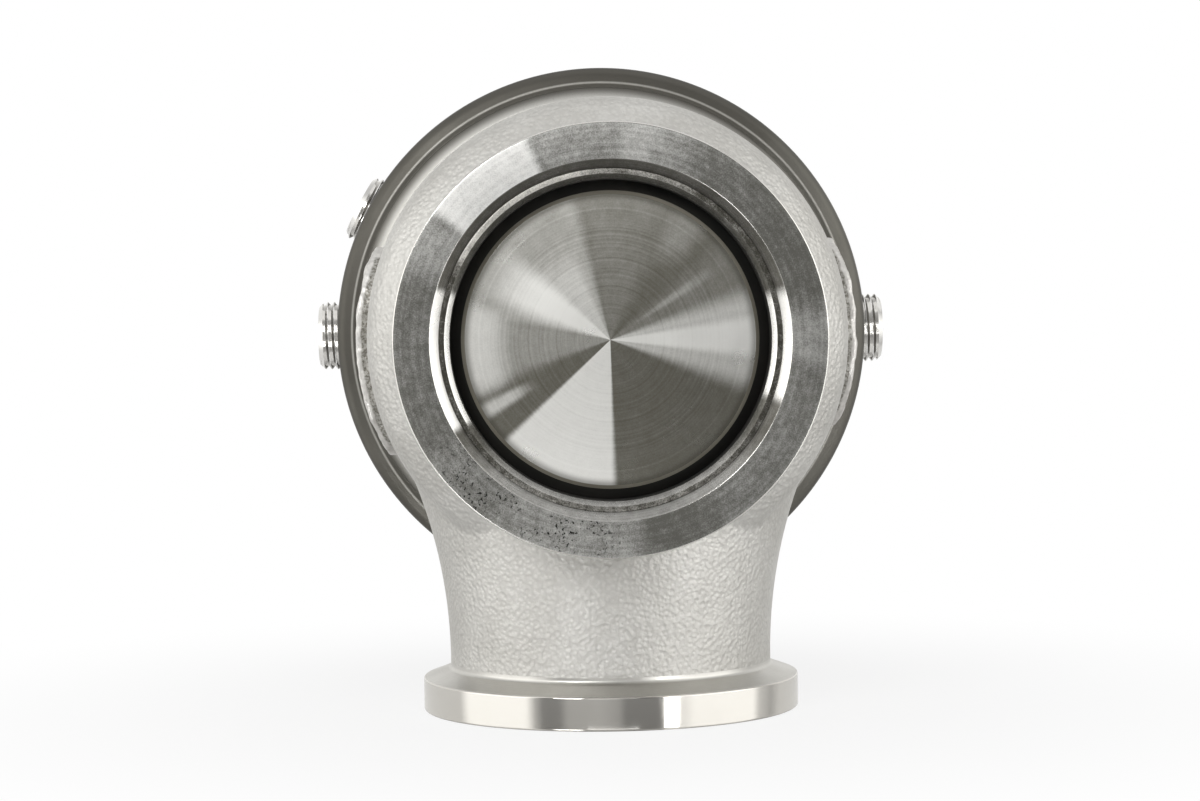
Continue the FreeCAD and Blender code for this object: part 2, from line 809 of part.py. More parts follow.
def main():
    """Write one STEP file per node."""
    os.makedirs("parts", exist_ok=True)
    for name, shape in pieces().items():
        shape.exportStep("parts/%s.step" % name)
        print("%-16s %d solid, valid %s" % (name, len(shape.Solids), shape.isValid()))


main()
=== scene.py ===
"""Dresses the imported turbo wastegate: turned, cast, welded and threaded pieces round its CAD frame."""
import logging
import math
from contextlib import contextmanager
from dataclasses import dataclass
from enum import Enum
from typing import Any, Callable, Iterable, Iterator, Sequence

import bmesh
import bpy
from mathutils import Matrix, Vector


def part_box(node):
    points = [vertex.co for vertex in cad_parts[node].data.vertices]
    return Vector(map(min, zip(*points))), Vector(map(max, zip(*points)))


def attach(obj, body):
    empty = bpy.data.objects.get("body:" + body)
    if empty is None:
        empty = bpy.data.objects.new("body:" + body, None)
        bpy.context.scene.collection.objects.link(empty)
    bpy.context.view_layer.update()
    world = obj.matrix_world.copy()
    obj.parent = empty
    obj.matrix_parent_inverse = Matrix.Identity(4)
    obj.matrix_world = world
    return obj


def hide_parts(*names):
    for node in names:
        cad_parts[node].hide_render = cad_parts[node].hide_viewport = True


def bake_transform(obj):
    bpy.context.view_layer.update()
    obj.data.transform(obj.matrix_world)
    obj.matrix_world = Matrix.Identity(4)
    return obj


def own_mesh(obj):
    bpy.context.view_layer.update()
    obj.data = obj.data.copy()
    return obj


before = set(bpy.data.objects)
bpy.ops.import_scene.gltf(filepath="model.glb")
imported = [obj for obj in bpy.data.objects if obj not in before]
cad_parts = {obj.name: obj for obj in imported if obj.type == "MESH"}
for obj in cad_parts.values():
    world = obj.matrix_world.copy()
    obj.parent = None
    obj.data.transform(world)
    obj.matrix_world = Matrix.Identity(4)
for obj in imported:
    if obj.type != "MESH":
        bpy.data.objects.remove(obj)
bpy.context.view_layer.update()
LOG = logging.getLogger("wastegate")
MM = 0.001
Piece = bpy.types.Object
Material = bpy.types.Material
Triple = tuple[float, float, float]
Colour = Triple
Span = tuple[float, float]
Corner = tuple[float, ...]
Paint = Callable[[Vector], bool]


class Body(Enum):
    """The bodies that a piece can ride on."""
    HOUSING = "root"
    VALVE = "valve_group"


class Axis(Enum):
    """The two axes that the wastegate's round forms share."""
    VALVE = Vector((0, 1, 0))
    OUTLET = Vector((0, 0, 1))


AXIS_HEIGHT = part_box("valve_seat")[0].lerp(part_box("valve_seat")[1], 0.5).z
CENTRE = {Axis.VALVE: Vector((0, 0, AXIS_HEIGHT)), Axis.OUTLET: Vector((0, 0, 0))}
INLET_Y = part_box("valve_housing")[0].y


# ---- shader maths ----
def operator(operation: str, swapped: bool = False) -> Callable[["Wire", Any], "Wire"]:
    """Makes one of a wire's operators; a swapped one has its number in front."""
    def run(wire: "Wire", other: Any) -> "Wire":
        """Adds the operator's Math node."""
        return wire.graph.maths(operation, *((other, wire) if swapped else (wire, other)))
    return run


class Wire:
    """A value socket that can stand in sums, so that shader maths reads as maths."""
    __add__ = __radd__ = operator("ADD")
    __sub__, __rsub__ = operator("SUBTRACT"), operator("SUBTRACT", True)
    __mul__ = __rmul__ = operator("MULTIPLY")
    __truediv__, __rtruediv__ = operator("DIVIDE"), operator("DIVIDE", True)
    __pow__ = operator("POWER")

    def __init__(self, graph: "Graph", socket: bpy.types.NodeSocket) -> None:
        """Wraps one output socket of a graph."""
        self.graph = graph
        self.socket = socket

    def angle(self, aside: "Wire") -> "Wire":
        """Angle in degrees, from 0 to 360, of a point that is this far up and so far aside."""
        turn = self.graph.maths("ARCTAN2", self, aside) / math.tau
        return (turn - self.graph.maths("FLOOR", turn)) * 360.0

    def rise(self, low: float, high: float, bottom: float = 0.0, top: float = 1.0) -> "Wire":
        """Maps a range smoothly to another.

        Args:
            low: Where the rise starts.
            high: Where it ends.
            bottom: The value before the start.
            top: The value after the end.

        Returns:
            The mapped wire.
        """
        return self.graph.wire("ShaderNodeMapRange", {
            "Value": self, "From Min": low, "From Max": high, "To Min": bottom, "To Max": top},
            interpolation_type="SMOOTHSTEP")

    def fall(self, low: float, high: float, top: float = 1.0) -> "Wire":
        """Falls smoothly from a value to zero over a range."""
        return self.rise(low, high, top, 0.0)


class Graph:
    """Adds nodes to one node tree."""

    def __init__(self, tree: bpy.types.NodeTree) -> None:
        """Empties the tree."""
        self.tree = tree
        self.tree.nodes.clear()

    def node(self, kind: str, values: dict[Any, Any] | None = None, **settings: Any) -> bpy.types.Node:
        """Adds any node.

        Args:
            kind: The node's type.
            values: A wire, a socket, a number or a colour for each input socket.
            settings: Its own settings; stops holds a ramp's (place, colour) pairs.

        Returns:
            The new node.
        """
        node = self.tree.nodes.new(kind)
        for key, value in settings.items():
            if key == "stops":
                self._stops(node.color_ramp.elements, value)
            else:
                setattr(node, key, value)
        for key, value in (values or {}).items():
            self.put(node.inputs[key], value)
        return node

    def _stops(self, elements: Any, stops: Sequence[tuple[float, Colour]]) -> None:
        """Gives a colour ramp its stops, in their order."""
        for index, (place, colour) in enumerate(stops):
            element = elements[index] if index < 2 else elements.new(place)
            element.position = place
            element.color = (*colour, 1.0)

    def put(self, socket: bpy.types.NodeSocket, value: Any) -> None:
        """Links or sets one input socket."""
        if isinstance(value, Wire):
            value = value.socket
        if isinstance(value, bpy.types.NodeSocket):
            self.tree.links.new(value, socket)
        elif socket.type == "RGBA" and len(value) == 3:
            socket.default_value = (*value, 1.0)
        else:
            socket.default_value = value

    def wire(self, kind: str, values: dict[Any, Any] | None = None, output: Any = 0,
             **settings: Any) -> Wire:
        """Adds a node and wraps one of its outputs."""
        return Wire(self, self.node(kind, values, **settings).outputs[output])

    def maths(self, operation: str, first: Any, second: Any = 0.0) -> Wire:
        """Adds one Math node on wires or numbers."""
        return self.wire("ShaderNodeMath", {0: first, 1: second}, operation=operation)

    def vector(self, operation: str, first: Any, second: Any = (0, 0, 0), scale: Any = None) -> Wire:
        """Adds one Vector Math node.

        Args:
            operation: The node's operation.
            first: The first vector.
            second: The second vector.
            scale: The factor of a Scale operation.

        Returns:
            The wire of its vector, or of its value for a dot product or a length.
        """
        values = {0: first, 1: second} if scale is None else {0: first, "Scale": scale}
        output = "Value" if operation in ("DOT_PRODUCT", "LENGTH") else 0
        return self.wire("ShaderNodeVectorMath", values, output, operation=operation)

    def place(self, kind: str = "Object") -> Wire:
        """Position on the piece, in metres, or another kind of coordinates."""
        return self.wire("ShaderNodeTexCoord", output=kind)

    def out(self, axis: Axis) -> Wire:
        """Position on the piece, from a point on one of the two axes."""
        return self.vector("SUBTRACT", self.place(), tuple(CENTRE[axis]))

    def radius(self, out: Wire) -> Wire:
        """Distance from the valve's axis, in millimetres."""
        return self.vector("LENGTH", self.vector("MULTIPLY", out, (1, 0, 1))) / MM

    def noise(self, size: float, detail: float = 3.0, rough: float = 0.5) -> Wire:
        """Soft noise whose grains have a size in metres."""
        return self.wire("ShaderNodeTexNoise", {
            "Vector": self.place(), "Scale": 1.0 / size, "Detail": detail, "Roughness": rough})

    def cells(self, size: float) -> Wire:
        """Distance to the nearest of scattered points whose spacing is a size in metres."""
        return self.wire("ShaderNodeTexVoronoi", {
            "Vector": self.place(), "Scale": 1.0 / size, "Smoothness": 0.6}, feature="SMOOTH_F1")

    def mix(self, factor: Any, first: Any, second: Any) -> Wire:
        """Mixes two colours by a factor."""
        return self.wire("ShaderNodeMix", {0: factor, 6: first, 7: second}, 2, data_type="RGBA")

    def blend(self, factor: Any, first: bpy.types.Node, second: bpy.types.Node) -> bpy.types.Node:
        """Mixes two shaders by a factor."""
        return self.node("ShaderNodeMixShader", {0: factor, 1: first.outputs[0], 2: second.outputs[0]})

    def bump(self, height: Wire, distance: float) -> Wire:
        """Turns a height into a normal; the distance is in metres."""
        return self.wire("ShaderNodeBump", {"Height": height, "Distance": distance, "Strength": 1.0})


class Recipe(Graph):
    """Builds the nodes of one material."""

    def __init__(self, name: str) -> None:
        """Starts a material with a principled shader."""
        self.material = bpy.data.materials.new(name)
        self.material.use_nodes = True
        super().__init__(self.material.node_tree)
        self.shader = self.node("ShaderNodeBsdfPrincipled")
        self.output = self.node("ShaderNodeOutputMaterial", {"Surface": self.shader.outputs[0]})

    def finish(self, **sockets: Any) -> Material:
        """Sets the shader's sockets, with underscores for spaces in their names."""
        for key, value in sockets.items():
            self.put(self.shader.inputs[key.replace("_", " ")], value)
        return self.material


def dimmed(colour: Colour, share: float) -> Colour:
    """The same colour, darker."""
    return tuple(part * share for part in colour)


# ---- finishes ----
@dataclass(frozen=True)
class CastFinish:
    """Blasted casting with a fine pebble grain and painted shade between the pebbles; burnt gives a seam's
    outer radius and last station.
    """
    name: str
    colour: Colour
    shade: Colour
    grain: float = 0.6 * MM
    depth: float = 0.17 * MM
    roughness: float = 0.50
    # Colour of the painted shade between the pebbles.
    pebble_shade: Colour = (0.36, 0.35, 0.33)
    scorched: tuple[Colour, Colour] = ((0.18, 0.17, 0.145), (0.50, 0.49, 0.46))
    burnt: Span | None = None

    def seam(self, r: Recipe, waver: Wire) -> Wire:
        """Where the burnt seam shows, with a wavering rim."""
        out = r.out(Axis.VALVE)
        radius = r.radius(out) + waver * 0.5
        behind = (r.vector("DOT_PRODUCT", out, (0, 1, 0)) - INLET_Y) / MM
        rim, end = self.burnt
        return radius.fall(rim - 0.15, rim + 0.15) * behind.fall(end - 0.3, end + 0.3)

    def material(self) -> Material:
        """Builds the material."""
        r = Recipe(self.name)
        pebbles = r.cells(self.grain)
        fine = r.noise(self.grain * 0.35, 4.0, 0.6)
        peel = r.noise(self.grain * 4.0, 2.0)
        cloud = r.noise(14 * MM, 3.0, 0.55)
        colour = r.mix(cloud.rise(0.36, 0.64), self.colour, self.shade)
        # Painted shade between the pebbles, so that the grain shows, plus darker random flecks of grain.
        grain_and_pebble_shade = pebbles.rise(0.25, 0.65, 0.0, 0.20) + fine.rise(0.55, 0.75) * 0.15
        colour = r.mix(grain_and_pebble_shade, colour, self.pebble_shade)
        if self.burnt:
            scorch = r.mix(r.noise(0.35 * MM, 4.0, 0.7).rise(0.38, 0.62), *self.scorched)
            colour = r.mix(self.seam(r, peel - 0.5), colour, scorch)
        return r.finish(Base_Color=colour, Metallic=0.85,
                        Roughness=cloud * 0.10 + fine * 0.12 + (self.roughness - 0.11),
                        Normal=r.bump(pebbles * 0.8 + fine * 0.3 + peel * 0.15, self.depth))


@dataclass(frozen=True)
class Wedge:
    """Soft-sided sector of a turned face, in degrees anticlockwise from the right, and in millimetres."""
    start: float
    end: float
    soft: float
    weight: float
    inner: float = 0.0
    outer: float = math.inf

    def share(self, angle: Wire, radius: Wire) -> Wire:
        """How much of the wedge shows at each place.

        Args:
            angle: Angle round the face, in degrees.
            radius: Distance from its axis, in millimetres.

        Returns:
            The share, from 0 to the wedge's weight.
        """
        bell = (angle.rise(self.start - self.soft, self.start + self.soft)
                * angle.fall(self.end - self.soft, self.end + self.soft, self.weight))
        if self.inner > 0:
            bell = bell * radius.rise(self.inner - 2.6, self.inner + 2.2)
        if self.outer < math.inf:
            bell = bell * radius.fall(self.outer - 3.5, self.outer + 3.5)
        return bell


def fan(*rows: tuple[float, ...]) -> tuple[Wedge, ...]:
    """Painted highlight wedges from rows of start, end, softness, weight and the radii if not all."""
    return tuple(Wedge(*row) for row in rows)


@dataclass(frozen=True)
class TurnedFinish:
    """Lathe-turned metal: fine rings whose tilt fans the highlights out; highlight sectors are painted over
    a painted shade colour, and rim paints shade on a rounded edge.
    """
    name: str
    axis: Axis
    colour: Colour
    shade: Colour
    pitch: float = 0.22 * MM
    tilt: float = 0.05
    roughness: float = 0.16
    haze: float = 0.10
    speck: float = 0.15
    # Sectors of painted highlight over a painted shade colour.
    highlight_wedges: tuple[Wedge, ...] = ()
    pits: Wedge | None = None
    pit_size: float = 0.45 * MM
    pit_patch: float = 2.2 * MM
    pit_colour: Colour = (0.02, 0.02, 0.018)
    rim: Span | None = None

    def groove(self, r: Recipe, out: Wire, normal: Wire) -> tuple[Wire, Wire]:
        """Height of the rings and the direction across them, in the surface."""
        around = r.vector("NORMALIZE", r.vector("CROSS_PRODUCT", tuple(self.axis.value), out))
        across = r.vector("NORMALIZE", r.vector("CROSS_PRODUCT", around, normal))
        along = r.vector("DOT_PRODUCT", out, across)
        rings = r.wire("ShaderNodeTexNoise", {
            "W": along / self.pitch, "Scale": 1.0, "Detail": 3.0, "Roughness": 0.6}, noise_dimensions="1D")
        return rings - 0.5, across

    def material(self) -> Material:
        """Builds the material."""
        r = Recipe(self.name)
        out = r.out(self.axis)
        flat = r.node("ShaderNodeSeparateXYZ", {0: out})
        angle = Wire(r, flat.outputs["Z"]).angle(Wire(r, flat.outputs["X"]))
        radius = r.radius(out)
        normal = r.wire("ShaderNodeNewGeometry", output="Normal")
        groove, across = self.groove(r, out, normal)
        fleck = r.noise(0.17 * MM, 2.0, 0.6) * 0.5 + r.noise(1.3 * MM, 5.0, 0.72) * 0.5
        cloud = r.noise(9 * MM, 4.0, 0.6)
        lean = r.vector("SCALE", across, scale=groove * self.tilt)
        grain_and_painted_light = (cloud - 0.5) * 0.3 + groove * 0.25 + (fleck - 0.5) * (self.speck * 4.0)
        # With highlight wedges the surface starts at the painted shade colour; each wedge then paints its
        # highlight sector.
        grain_and_painted_light = grain_and_painted_light + (1.0 if self.highlight_wedges else 0.25)
        for wedge in self.highlight_wedges:
            grain_and_painted_light = grain_and_painted_light - wedge.share(angle, radius)
        colour = r.mix(grain_and_painted_light.rise(-0.15, 1.15), self.colour, self.shade)
        # Painted shade on a rounded edge: darker between the rim's two radii.
        if self.rim:
            colour = r.mix(radius.rise(*self.rim) * 0.6, colour, dimmed(self.shade, 0.6))
        if self.pits:
            spots = (r.noise(self.pit_size, 3.0, 0.6).rise(0.56, 0.61)
                     * r.noise(self.pit_patch, 2.0).rise(0.40, 0.54))
            colour = r.mix(spots * self.pits.share(angle, radius), colour, self.pit_colour)
        return r.finish(Base_Color=colour, Metallic=1.0,
                        Normal=r.vector("NORMALIZE", r.vector("ADD", normal, lean)),
                        Roughness=cloud.rise(0.3, 0.8, self.roughness, self.roughness + self.haze))


@dataclass(frozen=True)
class SatinFinish:
    """Blasted aluminium or another even satin metal, with an optional painted light ring that fades out
    between two radii and a thin painted highlight line at one radius.
    """
    name: str
    colour: Colour
    shade: Colour
    roughness: float = 0.34
    grain: float = 0.18 * MM
    depth: float = 0.006 * MM
    metallic: float = 1.0
    # Radii of the painted light ring, radius of the painted highlight line, and their two colours.
    glow_radii: Span | None = None
    highlight_radius: float = 0.0
    ring_glow: Colour = (0.62, 0.61, 0.58)
    line_highlight: Colour = (0.42, 0.41, 0.38)

    def painted_rings(self, r: Recipe, colour: Wire) -> Wire:
        """Adds the painted light ring, which fades out between two radii, and the thin painted highlight
        line.
        """
        radius = r.radius(r.out(Axis.VALVE))
        glow_share = radius.fall(*self.glow_radii) ** 1.4
        highlight_share = (radius.rise(self.highlight_radius - 0.22, self.highlight_radius)
                  * radius.fall(self.highlight_radius + 0.05, self.highlight_radius + 0.3))
        return r.mix(highlight_share * 0.8, r.mix(glow_share, colour, self.ring_glow), self.line_highlight)

    def material(self) -> Material:
        """Builds the material."""
        r = Recipe(self.name)
        fine = r.noise(self.grain, 3.0, 0.6)
        cloud = r.noise(18 * MM, 3.0)
        colour = r.mix(cloud.rise(0.35, 0.65), self.colour, self.shade)
        if self.glow_radii:
            colour = self.painted_rings(r, colour)
        colour = r.mix(fine.rise(0.5, 0.8) * 0.18, colour, dimmed(self.colour, 0.6))
        return r.finish(Base_Color=colour, Metallic=self.metallic, Normal=r.bump(fine, self.depth),
                        Roughness=fine * 0.08 + cloud * 0.08 + (self.roughness - 0.08))


@dataclass(frozen=True)
class ChromeFinish:
    """Bright plating with faint haze in its hollows."""
    name: str
    colour: Colour
    roughness: float = 0.09

    def material(self) -> Material:
        """Builds the material."""
        r = Recipe(self.name)
        cloud = r.noise(1.6 * MM, 4.0, 0.65)
        colour = r.mix(cloud.rise(0.5, 0.75) * 0.5, self.colour, dimmed(self.colour, 0.72))
        return r.finish(Base_Color=colour, Metallic=1.0, Normal=r.bump(cloud, 0.01 * MM),
                        Roughness=cloud.rise(0.35, 0.8, self.roughness, self.roughness + 0.16))


@dataclass(frozen=True)
class RoughFinish:
    """Cut and burnt metal edge: dark pits on a rough ground."""
    name: str
    colour: Colour
    pit: Colour
    size: float = 0.7 * MM
    depth: float = 0.09 * MM
    roughness: float = 0.5

    def material(self) -> Material:
        """Builds the material."""
        r = Recipe(self.name)
        pits = r.cells(self.size)
        fine = r.noise(self.size * 0.4, 5.0, 0.65)
        colour = r.mix((pits * 0.8 + fine * 0.4).rise(0.42, 0.72), self.pit, self.colour)
        return r.finish(Base_Color=colour, Metallic=0.8, Normal=r.bump(pits + fine * 0.6, self.depth),
                        Roughness=fine * 0.25 + (self.roughness - 0.1))


@dataclass(frozen=True)
class PlainFinish:
    """Non-metal such as silicone rubber or graphite."""
    name: str
    colour: Colour
    shade: Colour
    roughness: float = 0.6
    size: float = 0.5 * MM
    depth: float = 0.02 * MM

    def material(self) -> Material:
        """Builds the material."""
        r = Recipe(self.name)
        fine = r.noise(self.size, 4.0, 0.6)
        cloud = r.noise(8 * MM, 2.0)
        colour = r.mix(cloud.rise(0.3, 0.7) * 0.6 + fine * 0.3, self.colour, self.shade)
        return r.finish(Base_Color=colour, Normal=r.bump(fine, self.depth),
                        Roughness=fine * 0.2 + (self.roughness - 0.1))


# Bright end of the painted highlights on the seat lead and chamfer.
LEAD_HIGHLIGHT = (0.95, 0.94, 0.91)
BLASTED = {"colour": (0.130, 0.125, 0.111), "shade": (0.104, 0.099, 0.087), "roughness": 0.46,
           "grain": 0.25 * MM, "depth": 0.02 * MM}
# Sectors of painted highlight on the faced flange, the valve, the seat face, and the seat lead and chamfer.
FACE_PAINTED_HIGHLIGHTS = fan((112, 143, 2, 0.86), (143, 160, 5, 0.36), (66, 112, 5, 0.30), (77, 86, 3, 0.16),
               (46, 68, 8, 0.07), (160, 215, 6, 0.10), (213, 279, 4, 0.18), (236, 277, 5, 0.12),
               (300, 352, 9, 0.16), (352, 400, 4, 0.30), (-9, 9, 5, 0.30))
VALVE_PAINTED_HIGHLIGHTS = fan((-30, 18, 6, 0.6), (340, 400, 6, 0.6), (-30, 8, 3, 0.42), (353, 400, 3, 0.42),
                (14, 40, 8, 0.16), (31, 36, 2, 0.2, 6, 14), (48, 62, 5, 0.2, 13), (62, 106, 12, 0.15),
                (104, 167, 4, 0.34), (112, 166, 6, 0.30, 0, 12), (138, 160, 6, 0.48, 0, 16),
                (167, 200, 6, 0.30), (166, 203, 4, 0.42, 14.5), (206, 212, 2, 0.6, 13),
                (223, 271, 2, 0.95))
SEAT_PAINTED_HIGHLIGHTS = fan((98, 152, 6, 0.75), (60, 98, 6, 0.38), (225, 315, 12, 0.22))
LEAD_PAINTED_HIGHLIGHTS = fan((163, 209, 2, 1.0), (-9, 15, 3, 0.9), (340, 400, 3, 0.9), (222, 318, 12, 0.36))


class Finishes:
    """Every material of the wastegate, made once."""

    def __init__(self) -> None:
        """Builds them all."""
        self.cast = CastFinish("cast_stainless_blasted", (0.66, 0.65, 0.622), (0.59, 0.579, 0.55)).material()
        self.weld = CastFinish("weld_bead_blasted", (0.74, 0.725, 0.70), (0.66, 0.64, 0.61),
                               grain=0.5 * MM, depth=0.05 * MM, roughness=0.44,
                               burnt=(33.75, 30.0)).material()
        self.rim_outlet = TurnedFinish("turned_rim_outlet", Axis.OUTLET, (0.66, 0.645, 0.61),
                                       (0.52, 0.495, 0.45), tilt=0.02, roughness=0.06, haze=0.05).material()
        self.cone_outlet = TurnedFinish("turned_cone_outlet", Axis.OUTLET, (0.66, 0.65, 0.62),
                                        (0.40, 0.385, 0.35), tilt=0.06, roughness=0.30).material()
        self.rim_inlet = TurnedFinish("turned_rim_inlet", Axis.VALVE, (0.68, 0.67, 0.64),
                                      (0.55, 0.535, 0.50), tilt=0.03, roughness=0.14).material()
        # Faced flange, valve, seat and chamfer: painted highlights in sectors over a dark painted shade
        # colour.
        self.face = TurnedFinish("faced_flange", Axis.VALVE, (0.95, 0.945, 0.92), (0.14, 0.138, 0.124),
                                 roughness=0.30, speck=0.34, highlight_wedges=FACE_PAINTED_HIGHLIGHTS,
                                 pits=Wedge(214, 272, 10, 0.95)).material()
        # The valve also gets painted shade on its rounded edge between 17.9 and 19.0 mm.
        self.valve = TurnedFinish("turned_valve", Axis.VALVE, (0.98, 0.975, 0.94), (0.143, 0.137, 0.112),
                                  pitch=0.35 * MM, roughness=0.27, haze=0.06, speck=0.10,
                                  highlight_wedges=VALVE_PAINTED_HIGHLIGHTS, rim=(17.9, 19.0)).material()
        self.seat_face = TurnedFinish("turned_seat_face", Axis.VALVE, (0.80, 0.78, 0.73),
                                      (0.065, 0.062, 0.052), roughness=0.30, speck=0.6,
                                      highlight_wedges=SEAT_PAINTED_HIGHLIGHTS).material()
        self.seat_lead = TurnedFinish("seat_lead", Axis.VALVE, LEAD_HIGHLIGHT, (0.07, 0.067, 0.057),
                                      roughness=0.22, speck=0.2, highlight_wedges=LEAD_PAINTED_HIGHLIGHTS).material()
        self.chamfer = TurnedFinish("turned_chamfer", Axis.VALVE, LEAD_HIGHLIGHT, (0.085, 0.081, 0.070),
                                    roughness=0.24, highlight_wedges=LEAD_PAINTED_HIGHLIGHTS).material()
        self.bevel = PlainFinish("valve_bevel", (0.32, 0.30, 0.245), (0.22, 0.205, 0.165), 0.5).material()
        # Near-black painted shadow for the gap between the seat's bore and the valve.
        self.gap_shade = PlainFinish("painted_gap_shade", (0.012, 0.012, 0.010), (0.03, 0.028, 0.024), 0.7).material()
        self.plate = RoughFinish("rolled_plate", (0.56, 0.545, 0.52), (0.38, 0.365, 0.335)).material()
        self.satin = SatinFinish("satin_aluminium", **BLASTED).material()
        # The actuator base gets a painted light ring fading out between 34.5 and 36.6 mm and a painted
        # highlight line at 37.1 mm.
        self.satin_base = SatinFinish("satin_aluminium_stepped", glow_radii=(34.5, 36.6), highlight_radius=37.1,
                                      **BLASTED).material()
        self.chrome = ChromeFinish("chromed_plug", (0.80, 0.79, 0.77)).material()
        self.screw = SatinFinish("stainless_screw", (0.50, 0.495, 0.485), (0.42, 0.415, 0.40),
                                 roughness=0.28, grain=0.12 * MM).material()
        self.zinc = SatinFinish("zinc_plated", (0.68, 0.68, 0.66), (0.56, 0.56, 0.53), 0.25).material()
        self.bronze = SatinFinish("machined_bronze", (0.62, 0.46, 0.26), (0.50, 0.36, 0.19)).material()
        self.spring = SatinFinish("lacquered_spring", (0.10, 0.14, 0.24), (0.07, 0.10, 0.18),
                                  roughness=0.36, metallic=0.3).material()
        self.graphite = PlainFinish("pressed_graphite", (0.09, 0.09, 0.10), (0.14, 0.14, 0.145)).material()
        self.silicone = PlainFinish("diaphragm_silicone", (0.42, 0.09, 0.06), (0.34, 0.07, 0.05),
                                    0.5).material()


# ---- workbench ----
class Bench:
    """Models pieces with Blender's own operators, as by hand."""

    def clear(self) -> None:
        """Deselects everything."""
        bpy.ops.object.select_all(action="DESELECT")

    def take(self, piece: Piece) -> None:
        """Makes one piece the only selected one, and active."""
        self.clear()
        piece.select_set(True)
        bpy.context.view_layer.objects.active = piece

    @contextmanager
    def editing(self, piece: Piece) -> Iterator[None]:
        """Opens a piece's mesh with all of it selected, and closes it at the end."""
        self.take(piece)
        bpy.ops.object.mode_set(mode="EDIT")
        self.all()
        yield
        bpy.ops.object.mode_set(mode="OBJECT")

    def all(self) -> None:
        """Selects the whole mesh that is being edited."""
        bpy.ops.mesh.select_all(action="SELECT")

    def apply(self, piece: Piece) -> None:
        """Puts a piece's place into its mesh."""
        self.take(piece)
        bpy.ops.object.transform_apply(location=True, rotation=True, scale=True)

    def named(self, name: str) -> Piece:
        """Names the active object and its mesh, and puts its place into the mesh."""
        piece = bpy.context.active_object
        piece.name = name
        piece.data.name = name
        self.apply(piece)
        return piece

    def pick(self, mode: str, test: Callable[[Any], bool]) -> None:
        """Selects by place in edit mode.

        Args:
            mode: VERT, EDGE or FACE.
            test: Says whether a vertex, edge or face is wanted.
        """
        bpy.ops.mesh.select_mode(type=mode)
        bpy.ops.mesh.select_all(action="DESELECT")
        shape = bmesh.from_edit_mesh(bpy.context.active_object.data)
        for item in {"VERT": shape.verts, "EDGE": shape.edges, "FACE": shape.faces}[mode]:
            if test(item):
                item.select = True
        shape.select_flush_mode()
        bmesh.update_edit_mesh(bpy.context.active_object.data)

    def outward(self) -> None:
        """Turns all faces of the mesh that is being edited outwards."""
        self.all()
        bpy.ops.mesh.normals_make_consistent(inside=False)

    def turned(self, name: str, axis: Axis, corners: Sequence[Corner], steps: int = 256) -> Piece:
        """Turns a closed outline about one of the two axes.

        Args:
            name: The piece's name.
            axis: The axis that it is turned about.
            corners: (along, radius) or (along, radius, round) in millimetres; along is a station from
                the inlet face on the valve's axis, or a height on the outlet's.
            steps: Flats round the piece.

        Returns:
            The turned piece.
        """
        points = [self.spot(axis, corner[0], corner[1]) for corner in corners]
        piece = self.chain(name, points + points[:1])
        with self.editing(piece):
            bpy.ops.mesh.remove_doubles(threshold=1e-7)
            for index, corner in enumerate(corners):
                if len(corner) == 3:
                    after = points[(index + 1) % len(points)]
                    self._round(points[index - 1], points[index], after, corner[2])
            self.all()
            bpy.ops.mesh.spin(steps=steps, angle=math.tau, center=CENTRE[axis], axis=axis.value,
                              use_auto_merge=True)
            self.all()
            bpy.ops.mesh.remove_doubles(threshold=1e-6)
            self.outward()
        return self.smooth(piece)

    def chain(self, name: str, points: Sequence[Vector]) -> Piece:
        """Draws a line through points, by extruding one vertex from each to the next."""
        self.clear()
        bpy.ops.mesh.primitive_plane_add(size=MM, location=points[0])
        piece = self.named(name)
        with self.editing(piece):
            bpy.ops.mesh.select_mode(type="VERT")
            self.all()
            bpy.ops.mesh.merge(type="CENTER")
            for before, after in zip(points, points[1:]):
                bpy.ops.mesh.extrude_region_move(TRANSFORM_OT_translate={"value": after - before})
        return piece

    def spot(self, axis: Axis, along: float, radius: float) -> Vector:
        """Point in the plane that an outline is drawn in, from millimetres."""
        if axis is Axis.VALVE:
            return Vector((radius * MM, INLET_Y + along * MM, AXIS_HEIGHT))
        return Vector((radius * MM, 0, along * MM))

    def _round(self, before: Vector, point: Vector, after: Vector, radius: float) -> None:
        """Rounds one corner of an outline by bevelling its vertex, with about 9 degrees a step."""
        half = (before - point).angle(after - point) / 2
        self.pick("VERT", lambda v: (v.co - point).length < 1e-6)
        segments = max(3, min(14, math.ceil((math.pi - 2 * half) / math.radians(9))))
        bpy.ops.mesh.bevel(offset=radius * MM / math.tan(half), offset_type="OFFSET", segments=segments,
                           affect="VERTICES", profile=0.5)

    def smooth(self, piece: Piece, angle: float = 28.0) -> Piece:
        """Shades a piece smooth up to an angle in degrees."""
        self.take(piece)
        bpy.ops.object.shade_smooth_by_angle(angle=math.radians(angle))
        return piece

    def modify(self, piece: Piece, kind: str, **settings: Any) -> Piece:
        """Adds one modifier and applies it."""
        self.take(piece)
        modifier = piece.modifiers.new(kind.lower(), kind)
        for key, value in settings.items():
            setattr(modifier, key, value)
        bpy.ops.object.modifier_apply(modifier=modifier.name)
        return piece

    def wound(self, piece: Piece, steps: int, **settings: Any) -> Piece:
        """Winds an outline round an axis with the Screw modifier."""
        return self.modify(piece, "SCREW", steps=steps, render_steps=steps, use_merge_vertices=True,
                           merge_threshold=1e-7, use_normal_calculate=True, **settings)

    def cut(self, piece: Piece, tools: Iterable[Piece], operation: str = "DIFFERENCE") -> Piece:
        """Cuts a piece with tools that are then thrown away."""
        for tool in tools:
            self.modify(piece, "BOOLEAN", operation=operation, solver="EXACT", object=tool)
            bpy.data.objects.remove(tool)
        return piece

